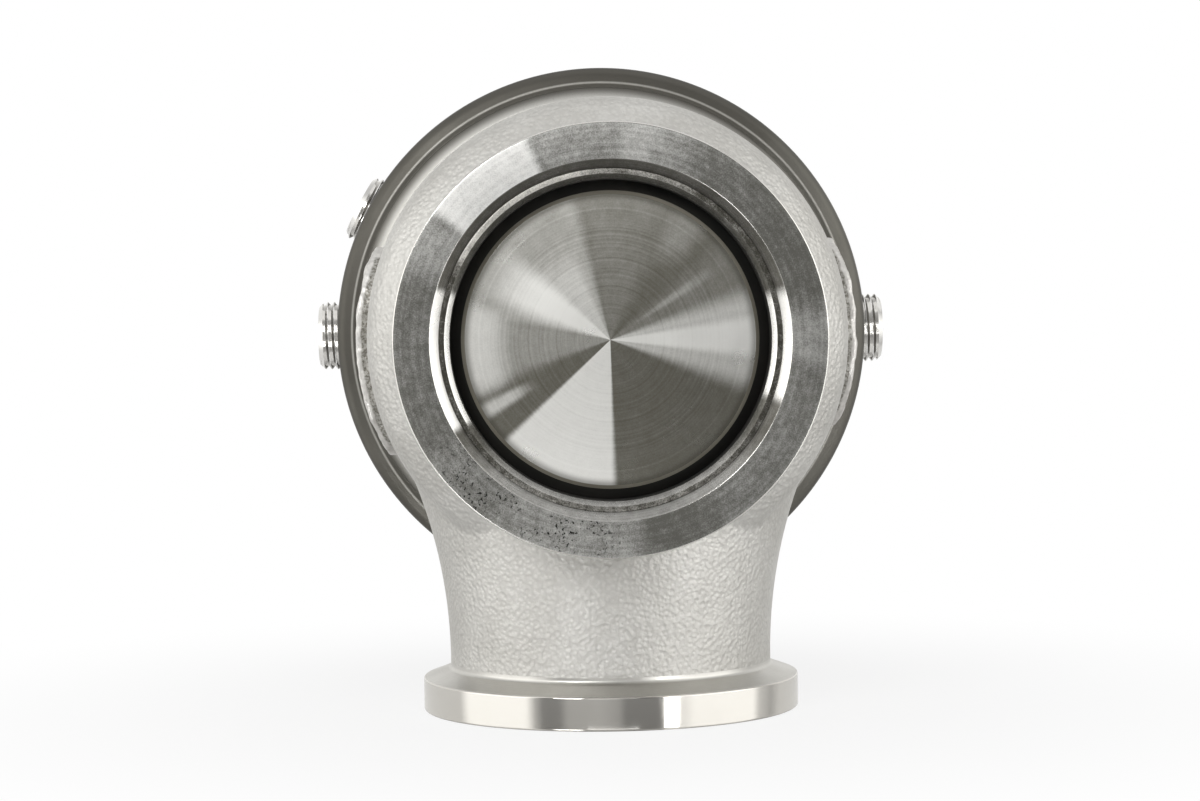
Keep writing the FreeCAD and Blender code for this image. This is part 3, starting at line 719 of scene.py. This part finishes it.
    def rod(self, name: str, radius: float, start: Vector, end: Vector, sides: int = 64) -> Piece:
        """Cylinder or prism between two points; the radius is in millimetres."""
        self.clear()
        turn = Vector((0, 0, 1)).rotation_difference(end - start)
        bpy.ops.mesh.primitive_cylinder_add(vertices=sides, radius=radius * MM, depth=(end - start).length,
                                            location=(start + end) / 2, rotation=turn.to_euler())
        return self.named(name)

    def hexagon(self, flats: float, top: Vector, along: Vector, depth: float) -> Piece:
        """Tool for a hexagon socket, from its depth in millimetres to just above the top."""
        return self.rod("pocket", flats / math.sqrt(3), top - along * depth * MM, top + along * MM, 6)

    def copied(self, name: str, node: str) -> Piece:
        """Copy of a CAD node with its own merged mesh."""
        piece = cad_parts[node].copy()
        piece.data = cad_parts[node].data.copy()
        for key in [k for k in piece.keys() if k.startswith("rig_")]:
            del piece[key]
        piece.parent = None
        bpy.context.scene.collection.objects.link(piece)
        piece.hide_render = False
        piece.hide_viewport = False
        piece.name = name
        piece.data.name = name
        with self.editing(piece):
            bpy.ops.mesh.customdata_custom_splitnormals_clear()
            bpy.ops.mesh.remove_doubles(threshold=2e-6)
        return self.smooth(piece)

    def trimmed(self, piece: Piece, point: Vector, normal: Vector) -> Piece:
        """Cuts away what lies beyond a plane and closes the ring that is left."""
        with self.editing(piece):
            bpy.ops.mesh.bisect(plane_co=point, plane_no=normal, clear_outer=True, use_fill=False)
            self.pick("EDGE", lambda e: e.is_boundary and all(
                abs((v.co - point).dot(normal)) < 1e-5 for v in e.verts))
            bpy.ops.mesh.bridge_edge_loops()
        return self.smooth(piece)


BENCH = Bench()


def dress(piece: Piece, ground: Material, *patches: tuple[Material, Paint]) -> None:
    """Gives a piece its finishes.

    Args:
        piece: The piece.
        ground: The material of its faces, where no patch is.
        patches: A material, and a test of a face's middle that says where it goes.
    """
    piece.data.materials.clear()
    for material in (ground, *(patch[0] for patch in patches)):
        piece.data.materials.append(material)
    for face in piece.data.polygons:
        face.material_index = 0
        for index, (_, test) in enumerate(patches, 1):
            if test(face.center):
                face.material_index = index


def settle(piece: Piece, body: Body, slot: str, node: str, ground: Material,
           *patches: tuple[Material, Paint]) -> None:
    """Dresses a piece and sets it on its body.

    Args:
        piece: The piece.
        body: The body that it rides on.
        slot: The name of its material slot; not used.
        node: The CAD node that it stands for.
        ground: The material of its faces.
        patches: A material and where it goes, for faces that look otherwise.
    """
    dress(piece, ground, *patches)
    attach(piece, body.value)
    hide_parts(node)
    LOG.info("%s: %d faces, rides on %s", piece.name, len(piece.data.polygons), body.value)


def from_axis(point: Vector) -> float:
    """Distance in millimetres from the valve's axis."""
    out = point - CENTRE[Axis.VALVE]
    return math.hypot(out.x, out.z) / MM


def station(point: Vector) -> float:
    """Distance in millimetres behind the inlet face."""
    return (point.y - INLET_Y) / MM


def around(radius: float, angle: float, along: float) -> Vector:
    """Point at a radius in millimetres, an angle in degrees and a station of the valve's axis."""
    turn = math.radians(angle)
    return Vector((radius * MM * math.cos(turn), INLET_Y + along * MM,
                   AXIS_HEIGHT + radius * MM * math.sin(turn)))


# ---- valve housing ----
@dataclass(frozen=True)
class Lumps:
    """How uneven a welded or torn piece is; sizes in millimetres."""
    voxel: float
    rounds: int
    height: float
    width: float


@dataclass
class Housing:
    """Cast body, its two machined flanges, the side covers and their welds; sizes in millimetres."""
    inlet_radius: float = 28.3
    inlet_neck: float = 24.8
    outlet_radius: float = 26.1
    outlet_neck: float = 22.3
    land: float = 4.5
    slope: float = math.tan(math.radians(20.0))
    edge: float = 0.3
    fillet: float = 0.6
    recess: float = 22.3
    mouth: float = 1.16
    inlet_cut: float = 6.4
    outlet_cut: float = 6.6
    bore: float = 19.5
    register: float = 20.0
    register_depth: float = 6.0
    side_turns: tuple[tuple[str, float], ...] = (("left", 3.0), ("right", 0.0))
    weld_lumps: Lumps = Lumps(0.22, 10, 0.55, 2.6)
    cover_lumps: Lumps = Lumps(0.25, 2, 0.25, 0.9)

    def outside(self, flange: float, neck: float, cut: float) -> list[Corner]:
        """Corners of a V-band flange's outside, from its face to where the casting starts."""
        cone_end = self.land + (flange - neck) * self.slope
        return [(0, flange, self.edge), (self.land, flange, self.edge), (cone_end, neck, self.fillet),
                (cut, neck)]

    def inlet_flange(self) -> Piece:
        """Machined inlet flange."""
        return BENCH.turned("inlet_flange", Axis.VALVE, [
            (0, self.recess + self.mouth, 0.12),
            *self.outside(self.inlet_radius, self.inlet_neck, self.inlet_cut),
            (self.inlet_cut, self.recess), (self.mouth, self.recess, 0.1)])

    def outlet_flange(self) -> Piece:
        """Machined outlet flange."""
        return BENCH.turned("outlet_flange", Axis.OUTLET, [
            (0, self.register, 0.2),
            *self.outside(self.outlet_radius, self.outlet_neck, self.outlet_cut),
            (self.outlet_cut, self.bore), (self.register_depth, self.bore, 0.1),
            (self.register_depth, self.register)])

    def casting(self) -> Piece:
        """Cast body between the flanges."""
        piece = BENCH.copied("casting", "valve_housing")
        BENCH.trimmed(piece, Vector((0, 0, self.outlet_cut * MM)), Vector((0, 0, -1)))
        return BENCH.trimmed(piece, Vector((0, INLET_Y + self.inlet_cut * MM, 0)), Vector((0, -1, 0)))

    def lumpy(self, name: str, node: str, lumps: Lumps, turn: float) -> Piece:
        """Copy of a CAD node with soft edges and an uneven surface.

        Args:
            name: The piece's name.
            node: The CAD node.
            lumps: Its unevenness.
            turn: How far it sits round the valve's axis from the node, in degrees.

        Returns:
            The piece.
        """
        piece = BENCH.copied(name, node)
        with BENCH.editing(piece):
            bpy.ops.transform.rotate(value=math.radians(turn), orient_axis="Y",
                                     center_override=CENTRE[Axis.VALVE])
        BENCH.modify(piece, "REMESH", mode="VOXEL", voxel_size=lumps.voxel * MM)
        BENCH.modify(piece, "SMOOTH", factor=0.5, iterations=lumps.rounds)
        texture = bpy.data.textures.new(name + "_lumps", "CLOUDS")
        texture.noise_scale = lumps.width * MM
        texture.noise_depth = 1
        BENCH.modify(piece, "DISPLACE", texture=texture, texture_coords="LOCAL",
                     strength=lumps.height * MM, mid_level=0.5)
        return BENCH.smooth(piece, 60)

    def build(self, finishes: Finishes) -> None:
        """Builds and dresses every piece of the housing."""
        settle(self.casting(), Body.HOUSING, "cast_stainless", "valve_housing", finishes.cast)
        settle(self.inlet_flange(), Body.HOUSING, "cast_stainless", "valve_housing", finishes.rim_inlet,
               (finishes.face, lambda p: station(p) < 0.01),
               (finishes.chamfer, lambda p: from_axis(p) < self.recess + self.mouth and station(p) > 0.02))
        settle(self.outlet_flange(), Body.HOUSING, "cast_stainless", "valve_housing", finishes.rim_outlet,
               (finishes.cone_outlet, lambda p: p.z > (self.land + 0.02) * MM))
        for side, turn in self.side_turns:
            weld = self.lumpy("weld_" + side, "side_weld_" + side, self.weld_lumps, turn)
            settle(weld, Body.HOUSING, "weld_bead", "side_weld_" + side, finishes.weld)
            cover = self.lumpy("cover_" + side, "side_cover_" + side, self.cover_lumps, turn)
            settle(cover, Body.HOUSING, "rolled_stainless", "side_cover_" + side, finishes.plate)


# ---- seat and valve ----
@dataclass
class PoppetValve:
    """Seat ring and valve; sizes in millimetres."""
    seat_bore: float = 20.9
    seat_radius: float = 22.3
    seat_front: float = 1.2
    seat_back: float = 7.3
    seat_lead: float = 0.7
    seat_edge: float = 6.15
    seat_slack: float = 0.03
    face: float = 4.4
    face_radius: float = 19.0
    face_slack: float = 0.04
    bevel: float = 0.5
    head: float = 21.6
    margin: float = 1.8
    rise: float = 2.6
    tulip: float = 9.0
    tulip_length: float = 9.0
    stem: float = 4.0
    thread: float = 3.0
    shoulder: float = 70.8
    stem_end: float = 82.5

    def build(self, finishes: Finishes) -> None:
        """Builds and dresses the seat and the valve."""
        lead_end = self.seat_front + self.seat_lead
        seat = BENCH.turned("seat_ring", Axis.VALVE, [
            (self.seat_front, self.seat_bore + self.seat_lead, 0.08),
            (self.seat_front, self.seat_radius, 0.12),
            (self.seat_back, self.seat_radius, 0.1),
            (self.seat_back, self.seat_bore + self.seat_back - self.seat_edge),
            (self.seat_edge, self.seat_bore),
            (lead_end, self.seat_bore, 0.12)])
        lead_start, lead_stop = self.seat_front + self.seat_slack, lead_end - self.seat_slack
        # The seat's bore behind its lead gets the near-black painted shadow of the gap.
        settle(seat, Body.HOUSING, "turned_stainless", "valve_seat", finishes.seat_face,
               (finishes.seat_lead, lambda p: lead_start < station(p) < lead_stop
                and from_axis(p) < self.seat_radius - 0.3),
               (finishes.gap_shade, lambda p: from_axis(p) < self.seat_bore + 0.4 and station(p) > lead_stop))
        cone = self.face + self.bevel
        cone_end = cone + self.head - self.face_radius - self.bevel
        back = cone_end + self.margin + self.rise
        valve = BENCH.turned("poppet_valve", Axis.VALVE, [
            (self.face, 0), (self.face, self.face_radius, 0.06),
            (cone, self.face_radius + self.bevel, 0.06), (cone_end, self.head, 0.12),
            (cone_end + self.margin, self.head, 0.25), (back, self.tulip, self.tulip),
            (back + self.tulip_length, self.stem), (self.shoulder, self.stem, 0.15),
            (self.shoulder, self.thread), (self.stem_end, self.thread, 0.35), (self.stem_end, 0)])
        face_end, bevel_end = self.face + self.face_slack, cone + self.face_slack
        # The valve's cone behind its bevel gets the near-black painted shadow of the gap.
        settle(valve, Body.VALVE, "turned_stainless", "valve", finishes.valve,
               (finishes.bevel, lambda p: face_end < station(p) < bevel_end),
               (finishes.gap_shade, lambda p: bevel_end < station(p) < back))


# ---- actuator ----
@dataclass(frozen=True)
class Plug:
    """Side port's angle in degrees, and how far its plug stands proud in millimetres."""
    name: str
    angle: float
    proud: float


@dataclass(frozen=True)
class Spring:
    """Compression spring: mean radius and wire radius in millimetres, and its turns."""
    name: str
    mean: float
    wire: float
    turns: float


@dataclass
class Actuator:
    """Base, cap, plugs, screws and springs; sizes in millimetres."""
    bottom: float = 59.8
    floor: float = 67.8
    top: float = 80.0
    radius: float = 39.4
    bore: float = 28.8
    pad: float = 34.8
    underside: tuple[Corner, ...] = ((0, 0, 0.25), (0.9, 1.5, 0.3), (1.8, 1.5, 0.2), (1.8, 2.3, 0.35))
    brim: float = 2.35
    brim_round: float = 1.76
    rim_round: float = 0.35
    stem_hole: float = 4.4
    seal: float = 8.0
    seal_bottom: float = 61.3
    cap_bottom: float = 80.8
    cap_flange_top: float = 86.8
    cap_top: float = 108.8
    boss_top: float = 112.8
    ceiling: float = 104.8
    dome: float = 31.3
    dome_round: float = 7.0
    boss: float = 9.0
    thread: float = 5.12
    thread_gap: float = 0.05
    thread_depth: float = 0.52
    pitch: float = 0.94
    flank: tuple[float, ...] = (0.0, 0.42, 0.54, 0.96, 1.0)
    plugs: tuple[Plug, ...] = (Plug("left", 180.0, 3.1), Plug("upper", 151.5, 1.7), Plug("right", 0.0, 3.1))
    plug_length: float = 6.9
    plug_chamfer: float = 0.75
    plug_hex: float = 4.76
    plug_hex_depth: float = 3.6
    port_station: float = 71.0
    port_depth: float = 8.0
    passage: float = 2.0
    screw_circle: float = 35.2
    screw_radius: float = 2.0
    screw_clear: float = 2.25
    screw_bottom: float = 72.4
    screw_head: float = 3.5
    screw_head_height: float = 4.0
    screw_chamfer: float = 0.35
    screw_length: float = 14.0
    screw_hex: float = 3.0
    screw_hex_depth: float = 2.2
    base_screw_circle: float = 20.0
    base_screw_clear: float = 2.75
    base_screw_head: float = 4.75
    base_screw_seat: float = 62.8
    past: float = 2.0
    cup_floor: float = 74.8
    room_shut: float = 30.0
    room_open: float = 19.0
    springs: tuple[Spring, ...] = (Spring("outer", 20.5, 1.6, 4.5), Spring("middle", 15.7, 1.4, 5.0),
                                   Spring("inner", 11.3, 1.2, 5.5))

    def screw_angles(self) -> list[float]:
        """Angles of the cap's screws."""
        return [15.0 + 60.0 * index for index in range(6)]

    def drill(self, radius: float, circle: float, angle: float, start: float, end: float) -> Piece:
        """Cutting rod along the valve's axis, from one station to another."""
        return BENCH.rod("tool", radius, around(circle, angle, start), around(circle, angle, end))

    def port(self, angle: float) -> list[Piece]:
        """Cutting rods of one side port and its passage."""
        out = around(self.radius + self.past, angle, self.port_station)
        end = around(self.radius - self.port_depth, angle, self.port_station)
        inside = around(self.bore - self.past, angle, self.port_station)
        return [BENCH.rod("tool", self.thread + self.thread_gap, out, end),
                BENCH.rod("tool", self.passage, out, inside, 32)]

    def base(self) -> Piece:
        """Lower half with its stepped underside, three ports and the screws' holes."""
        piece = BENCH.turned("actuator_body", Axis.VALVE, [
            (self.bottom, self.stem_hole),
            *((self.bottom + up, self.pad + out, soft) for up, out, soft in self.underside),
            (self.bottom + self.brim, self.radius, self.brim_round),
            (self.top, self.radius, self.rim_round), (self.top, self.bore, 0.3),
            (self.floor, self.bore, 1.6), (self.floor, self.seal), (self.seal_bottom, self.seal),
            (self.seal_bottom, self.stem_hole)])
        tools = [tool for plug in self.plugs for tool in self.port(plug.angle)]
        for angle in self.screw_angles():
            tools.append(self.drill(self.screw_radius, self.screw_circle, angle, self.screw_bottom,
                                    self.top + self.past))
        for index in range(4):
            place = self.base_screw_circle, 45.0 + 90.0 * index
            tools.append(self.drill(self.base_screw_clear, *place, self.bottom - self.past, self.floor))
            tools.append(self.drill(self.base_screw_head, *place, self.base_screw_seat,
                                    self.floor + self.past))
        return BENCH.smooth(BENCH.cut(piece, tools))

    def cap(self) -> Piece:
        """Domed cap with its screwed flange and the port on top."""
        hole = self.thread + self.thread_gap
        piece = BENCH.turned("actuator_dome", Axis.VALVE, [
            (self.cap_bottom, self.bore, 0.3), (self.cap_bottom, self.radius, self.rim_round),
            (self.cap_flange_top, self.radius, 1.2), (self.cap_flange_top, self.dome, 0.5),
            (self.cap_top, self.dome, self.dome_round), (self.cap_top, self.boss, 0.8),
            (self.boss_top, self.boss, 1.0), (self.boss_top, hole, 0.5), (self.ceiling, hole),
            (self.ceiling, self.bore, 4.0)])
        tools = [self.drill(self.screw_clear, self.screw_circle, angle, self.cap_bottom - self.past,
                            self.cap_flange_top + self.past) for angle in self.screw_angles()]
        return BENCH.smooth(BENCH.cut(piece, tools))

    def threaded(self, name: str, start: Vector, outward: Vector) -> Piece:
        """Threaded plug with chamfered ends and a hexagon socket.

        Args:
            name: The piece's name.
            start: The middle of its inner end.
            outward: The direction of its axis.

        Returns:
            The plug.
        """
        root = self.thread - self.thread_depth
        radii = (root, self.thread, self.thread, root, root)
        up = Vector((0, 0, 1))
        piece = BENCH.chain(name, [Vector((out * MM, 0, (share - 1.5) * self.pitch * MM))
                                   for out, share in zip(radii, self.flank)])
        BENCH.wound(piece, 48, axis="Z", angle=math.tau, screw_offset=self.pitch * MM,
                    iterations=math.ceil(self.plug_length / self.pitch) + 3)
        for height, side in ((-0.6 * self.pitch, -1), (self.plug_length + 0.6 * self.pitch, 1)):
            with BENCH.editing(piece):
                bpy.ops.mesh.remove_doubles(threshold=1e-7)
                BENCH.all()
                bpy.ops.mesh.bisect(plane_co=(0, 0, height * MM), plane_no=(0, 0, side),
                                    clear_outer=True, use_fill=True)
                BENCH.outward()
        top = up * self.plug_length * MM
        blank = BENCH.rod("blank", self.thread + 0.02, Vector((0, 0, 0)), top, 96)
        with BENCH.editing(blank):
            BENCH.pick("EDGE", lambda e: abs(e.verts[0].co.z - e.verts[1].co.z) < 1e-6)
            bpy.ops.mesh.bevel(offset=self.plug_chamfer * MM, segments=1)
        BENCH.cut(piece, [blank], "INTERSECT")
        BENCH.cut(piece, [BENCH.hexagon(self.plug_hex, top, up, self.plug_hex_depth)])
        turn = up.rotation_difference(outward).to_matrix().to_4x4()
        piece.matrix_world = Matrix.Translation(start) @ turn
        BENCH.apply(piece)
        return BENCH.smooth(piece, 24)

    def screw(self, name: str) -> Piece:
        """Socket-head screw in the first of the cap's holes."""
        seat = around(self.screw_circle, self.screw_angles()[0], self.cap_flange_top)
        along = Axis.VALVE.value
        head_top = seat + along * self.screw_head_height * MM
        piece = BENCH.rod(name, self.screw_head, seat, head_top, 72)
        with BENCH.editing(piece):
            BENCH.pick("EDGE", lambda e: all(abs((v.co - head_top).dot(along)) < 1e-6 for v in e.verts))
            bpy.ops.mesh.bevel(offset=self.screw_chamfer * MM, segments=3)
            BENCH.pick("FACE", lambda f: f.normal.dot(along) < -0.9)
            bpy.ops.mesh.inset(thickness=(self.screw_head - self.screw_radius) * MM)
            bpy.ops.mesh.extrude_region_move(
                TRANSFORM_OT_translate={"value": -along * self.screw_length * MM})
        BENCH.cut(piece, [BENCH.hexagon(self.screw_hex, head_top, along, self.screw_hex_depth)])
        return BENCH.smooth(piece)

    def screws(self) -> list[Piece]:
        """All six cap screws: one that is modelled, and its copies round the valve's axis."""
        first = self.screw("flange_screw_1")
        screws = [first]
        middle = Matrix.Translation(CENTRE[Axis.VALVE])
        for index, angle in enumerate(self.screw_angles()[1:], 2):
            screw = first.copy()
            screw.data = first.data.copy()
            screw.name = "flange_screw_%d" % index
            bpy.context.scene.collection.objects.link(screw)
            turn = Matrix.Rotation(-math.radians(angle - self.screw_angles()[0]), 4, Axis.VALVE.value)
            screw.data.transform(middle @ turn @ middle.inverted())
            screws.append(screw)
        return screws

    def coil(self, spring: Spring) -> Piece:
        """Compression spring between the cup's floor and the cap's ceiling."""
        length = self.ceiling - self.cup_floor - 2 * spring.wire
        BENCH.clear()
        bpy.ops.mesh.primitive_circle_add(vertices=20, radius=spring.wire * MM, fill_type="NOTHING",
                                          location=(spring.mean * MM, 0, 0))
        piece = BENCH.named("coil_" + spring.name)
        BENCH.wound(piece, round(72 * spring.turns), axis="Y", angle=math.tau * spring.turns,
                    screw_offset=length * MM, iterations=1)
        with BENCH.editing(piece):
            BENCH.pick("EDGE", lambda e: e.is_boundary)
            bpy.ops.mesh.edge_face_add()
            BENCH.outward()
        piece.location = (0, INLET_Y + (self.cup_floor + spring.wire) * MM, AXIS_HEIGHT)
        BENCH.apply(piece)
        return BENCH.smooth(piece, 40)

    def build(self, finishes: Finishes) -> None:
        """Builds and dresses every piece of the actuator."""
        settle(self.base(), Body.HOUSING, "satin_aluminium", "actuator_base", finishes.satin_base)
        settle(self.cap(), Body.HOUSING, "satin_aluminium", "actuator_cap", finishes.satin)
        for plug in self.plugs:
            end = around(self.radius + plug.proud, plug.angle, self.port_station)
            start = around(self.radius + plug.proud - self.plug_length, plug.angle, self.port_station)
            piece = self.threaded("plug_" + plug.name, start, (end - start).normalized())
            settle(piece, Body.HOUSING, "chromed_plug", "port_plug_" + plug.name, finishes.chrome)
        for index, screw in enumerate(self.screws(), 1):
            settle(screw, Body.HOUSING, "screw_steel", "cap_screw_%d" % index, finishes.screw)
        for spring in self.springs:
            coil = self.coil(spring)
            settle(coil, Body.HOUSING, "spring_steel", spring.name + "_spring", finishes.spring)
            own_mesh(coil)


@dataclass
class Diaphragm:
    """Rolling diaphragm in one skin, clamped at its edge and on the stem; sizes in millimetres."""
    skin: float = 0.8
    stem: float = 3.0
    plate_top: float = 72.8
    cup: float = 24.5
    wall: float = 28.5
    roll: float = 82.3
    clamp: float = 80.0
    edge: float = 39.0

    def build(self, finishes: Finishes) -> None:
        """Builds and dresses the diaphragm, which bends between its edge and the cup."""
        inside = (self.wall - self.cup - 2 * self.skin) / 2 * 0.98
        inner, outer = self.cup + self.skin, self.wall - self.skin
        clamp_top, plate_skin = self.clamp + self.skin, self.plate_top + self.skin
        skin = BENCH.turned("rolling_diaphragm", Axis.VALVE, [
            (self.plate_top, self.stem), (self.plate_top, inner, 1.4), (self.roll, inner, inside),
            (self.roll, outer, inside), (self.clamp, outer, 0.3), (self.clamp, self.edge),
            (clamp_top, self.edge), (clamp_top, self.wall, 0.3),
            (self.roll + self.skin, self.wall, inside + self.skin),
            (self.roll + self.skin, self.cup, inside + self.skin), (plate_skin, self.cup, 0.6),
            (plate_skin, self.stem)], 192)
        dress(skin, finishes.silicone)
        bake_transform(skin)
        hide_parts("diaphragm")


def dress_nodes(finishes: Finishes) -> None:
    """Gives the hidden CAD nodes their materials."""
    looks = {"valve_guide": finishes.bronze, "stem_seal": finishes.graphite,
             "housing_gasket": finishes.graphite, "seal_retainer": finishes.zinc,
             "stem_washer": finishes.zinc, "stem_nut": finishes.zinc, "lower_plate": finishes.satin,
             "spring_cup": finishes.satin}
    looks |= {"base_screw_%d" % index: finishes.screw for index in range(1, 5)}
    for name, material in looks.items():
        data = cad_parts[name].data
        data.materials.clear()
        data.materials.append(material)


# ---- studio ----
@dataclass(frozen=True)
class Softbox:
    """Area light that faces the wastegate; place and size in metres, power in watts."""
    name: str
    place: Triple
    size: Span
    power: float

    def hang(self) -> None:
        """Adds the light."""
        data = bpy.data.lights.new(self.name + "_softbox", "AREA")
        data.shape = "RECTANGLE"
        data.size, data.size_y = self.size
        data.energy = self.power
        light = bpy.data.objects.new(data.name, data)
        light.location = self.place
        aim = Vector((0, 0, 0.045)) - Vector(self.place)
        light.rotation_euler = aim.to_track_quat("-Z", "Y").to_euler()
        bpy.context.scene.collection.objects.link(light)


@dataclass
class Studio:
    """Floor, lights, world and camera; lengths in metres, angles in degrees."""
    azimuth: float = -1.07
    elevation: float = 2.235
    roll: float = -0.85
    distance: float = 431.7 * MM
    target: Triple = (-0.955 * MM, 0.0, 42.63 * MM)
    focal: float = 3096.0
    width: float = 1200.0
    sensor: float = 36.0
    overhead: float = 0.50
    fill: float = 0.40
    warmth: Colour = (1.0, 0.995, 0.975)
    panels: tuple[Span, ...] = (
        (-180, 1.0), (-106, 1.0), (-98, 2.0), (-54, 2.0), (-48, 0.7), (-43, 0.22), (-33, 0.22),
        (-27, 0.55), (-8, 0.60), (3.5, 0.45), (7.5, 0.18), (27, 0.18), (34, 0.6), (42, 1.5), (50, 2.0),
        (95, 2.0), (101, 1.0), (113, 0.6), (124, 1.0), (180, 1.0))
    softboxes: tuple[Softbox, ...] = (
        Softbox("upper_left", (-0.36, -0.66, 0.40), (0.24, 0.24), 1.6),
        Softbox("right", (0.46, -0.66, 0.06), (0.12, 0.40), 1.0),
        Softbox("front", (0.0, -0.90, 0.27), (0.5, 0.14), 0.34),
        Softbox("top", (0.0, 0.0, 0.80), (0.9, 0.7), 1.2))

    def camera(self) -> None:
        """Sets the camera."""
        azimuth, elevation, roll = (math.radians(a) for a in (self.azimuth, self.elevation, self.roll))
        back = Vector((math.sin(azimuth) * math.cos(elevation), -math.cos(azimuth) * math.cos(elevation),
                       math.sin(elevation)))
        right = (-back).cross(Vector((0, 0, 1))).normalized()
        up = right.cross(-back)
        right, up = (right * math.cos(roll) + up * math.sin(roll),
                     up * math.cos(roll) - right * math.sin(roll))
        data = bpy.data.cameras.new("camera")
        data.sensor_width = self.sensor
        data.lens = self.focal / self.width * self.sensor
        data.clip_start = 0.01
        camera = bpy.data.objects.new("camera", data)
        bpy.context.scene.collection.objects.link(camera)
        place = Matrix((right, up, back)).transposed().to_4x4()
        place.translation = Vector(self.target) + back * self.distance
        camera.matrix_world = place
        bpy.context.scene.camera = camera

    def floor(self) -> None:
        """Pale table top that keeps a soft shadow and mirrors the softboxes to the metal."""
        BENCH.clear()
        bpy.ops.mesh.primitive_plane_add(size=6.0, location=(0, 1.2, 0))
        floor = BENCH.named("floor")
        r = Recipe("pale_floor")
        r.finish(Base_Color=(0.88, 0.88, 0.88), Roughness=0.9, Specular_IOR_Level=0.0)
        glow = r.node("ShaderNodeEmission", {"Color": (1, 1, 1), "Strength": 1.0})
        mirror = r.node("ShaderNodeBsdfGlossy", {"Color": (0.95, 0.95, 0.95), "Roughness": 0.02})
        path = r.node("ShaderNodeLightPath")
        seen = Wire(r, path.outputs["Is Camera Ray"]) * r.vector("LENGTH", r.place()).rise(
            0.03, 0.13, 0.84, 1.0)
        shine = Wire(r, path.outputs["Is Glossy Ray"]) * 0.72
        table = r.blend(seen, r.blend(shine, r.shader, mirror), glow)
        r.put(r.output.inputs["Surface"], table.outputs[0])
        floor.data.materials.append(r.material)

    def world(self) -> None:
        """White surround whose panels and dark gaps show in the metal, and even fill for the rest."""
        world = bpy.data.worlds.new("studio")
        world.use_nodes = True
        g = Graph(world.node_tree)
        split = g.node("ShaderNodeSeparateXYZ", {0: g.place("Generated")})
        turn = g.maths("ARCTAN2", split.outputs["X"], Wire(g, split.outputs["Y"]) * -1.0)
        share = g.wire("ShaderNodeMapRange", {0: turn, 1: -math.pi, 2: math.pi})
        stops = [(angle / 360.0 + 0.5, dimmed(self.warmth, light / 2)) for angle, light in self.panels]
        height = g.wire("ShaderNodeMapRange", {0: split.outputs["Z"], 1: 0.35, 2: 0.95})
        over = g.mix(height, g.wire("ShaderNodeValToRGB", {0: share}, stops=stops),
                     dimmed((1, 1, 1), self.overhead / 2))
        seen = g.node("ShaderNodeBackground", {0: over, 1: 2.0})
        fill = g.node("ShaderNodeBackground", {0: (1, 1, 1), 1: self.fill})
        white = g.node("ShaderNodeBackground", {0: (1, 1, 1), 1: 1.0})
        path = g.node("ShaderNodeLightPath")
        inner = g.blend(path.outputs["Is Glossy Ray"], fill, seen)
        outer = g.blend(path.outputs["Is Camera Ray"], inner, white)
        g.node("ShaderNodeOutputWorld", {"Surface": outer.outputs[0]})
        bpy.context.scene.world = world

    def build(self) -> None:
        """Sets up the studio."""
        self.camera()
        self.floor()
        self.world()
        for softbox in self.softboxes:
            softbox.hang()
        bpy.context.scene.view_settings.view_transform = "Standard"


def main() -> None:
    """Builds the wastegate piece by piece, then the studio."""
    logging.basicConfig(level=logging.INFO, format="%(name)s: %(message)s")
    finishes = Finishes()
    for group in (Housing(), PoppetValve(), Actuator(), Diaphragm()):
        group.build(finishes)
    dress_nodes(finishes)
    Studio().build()


if __name__ == "__main__":
    main()
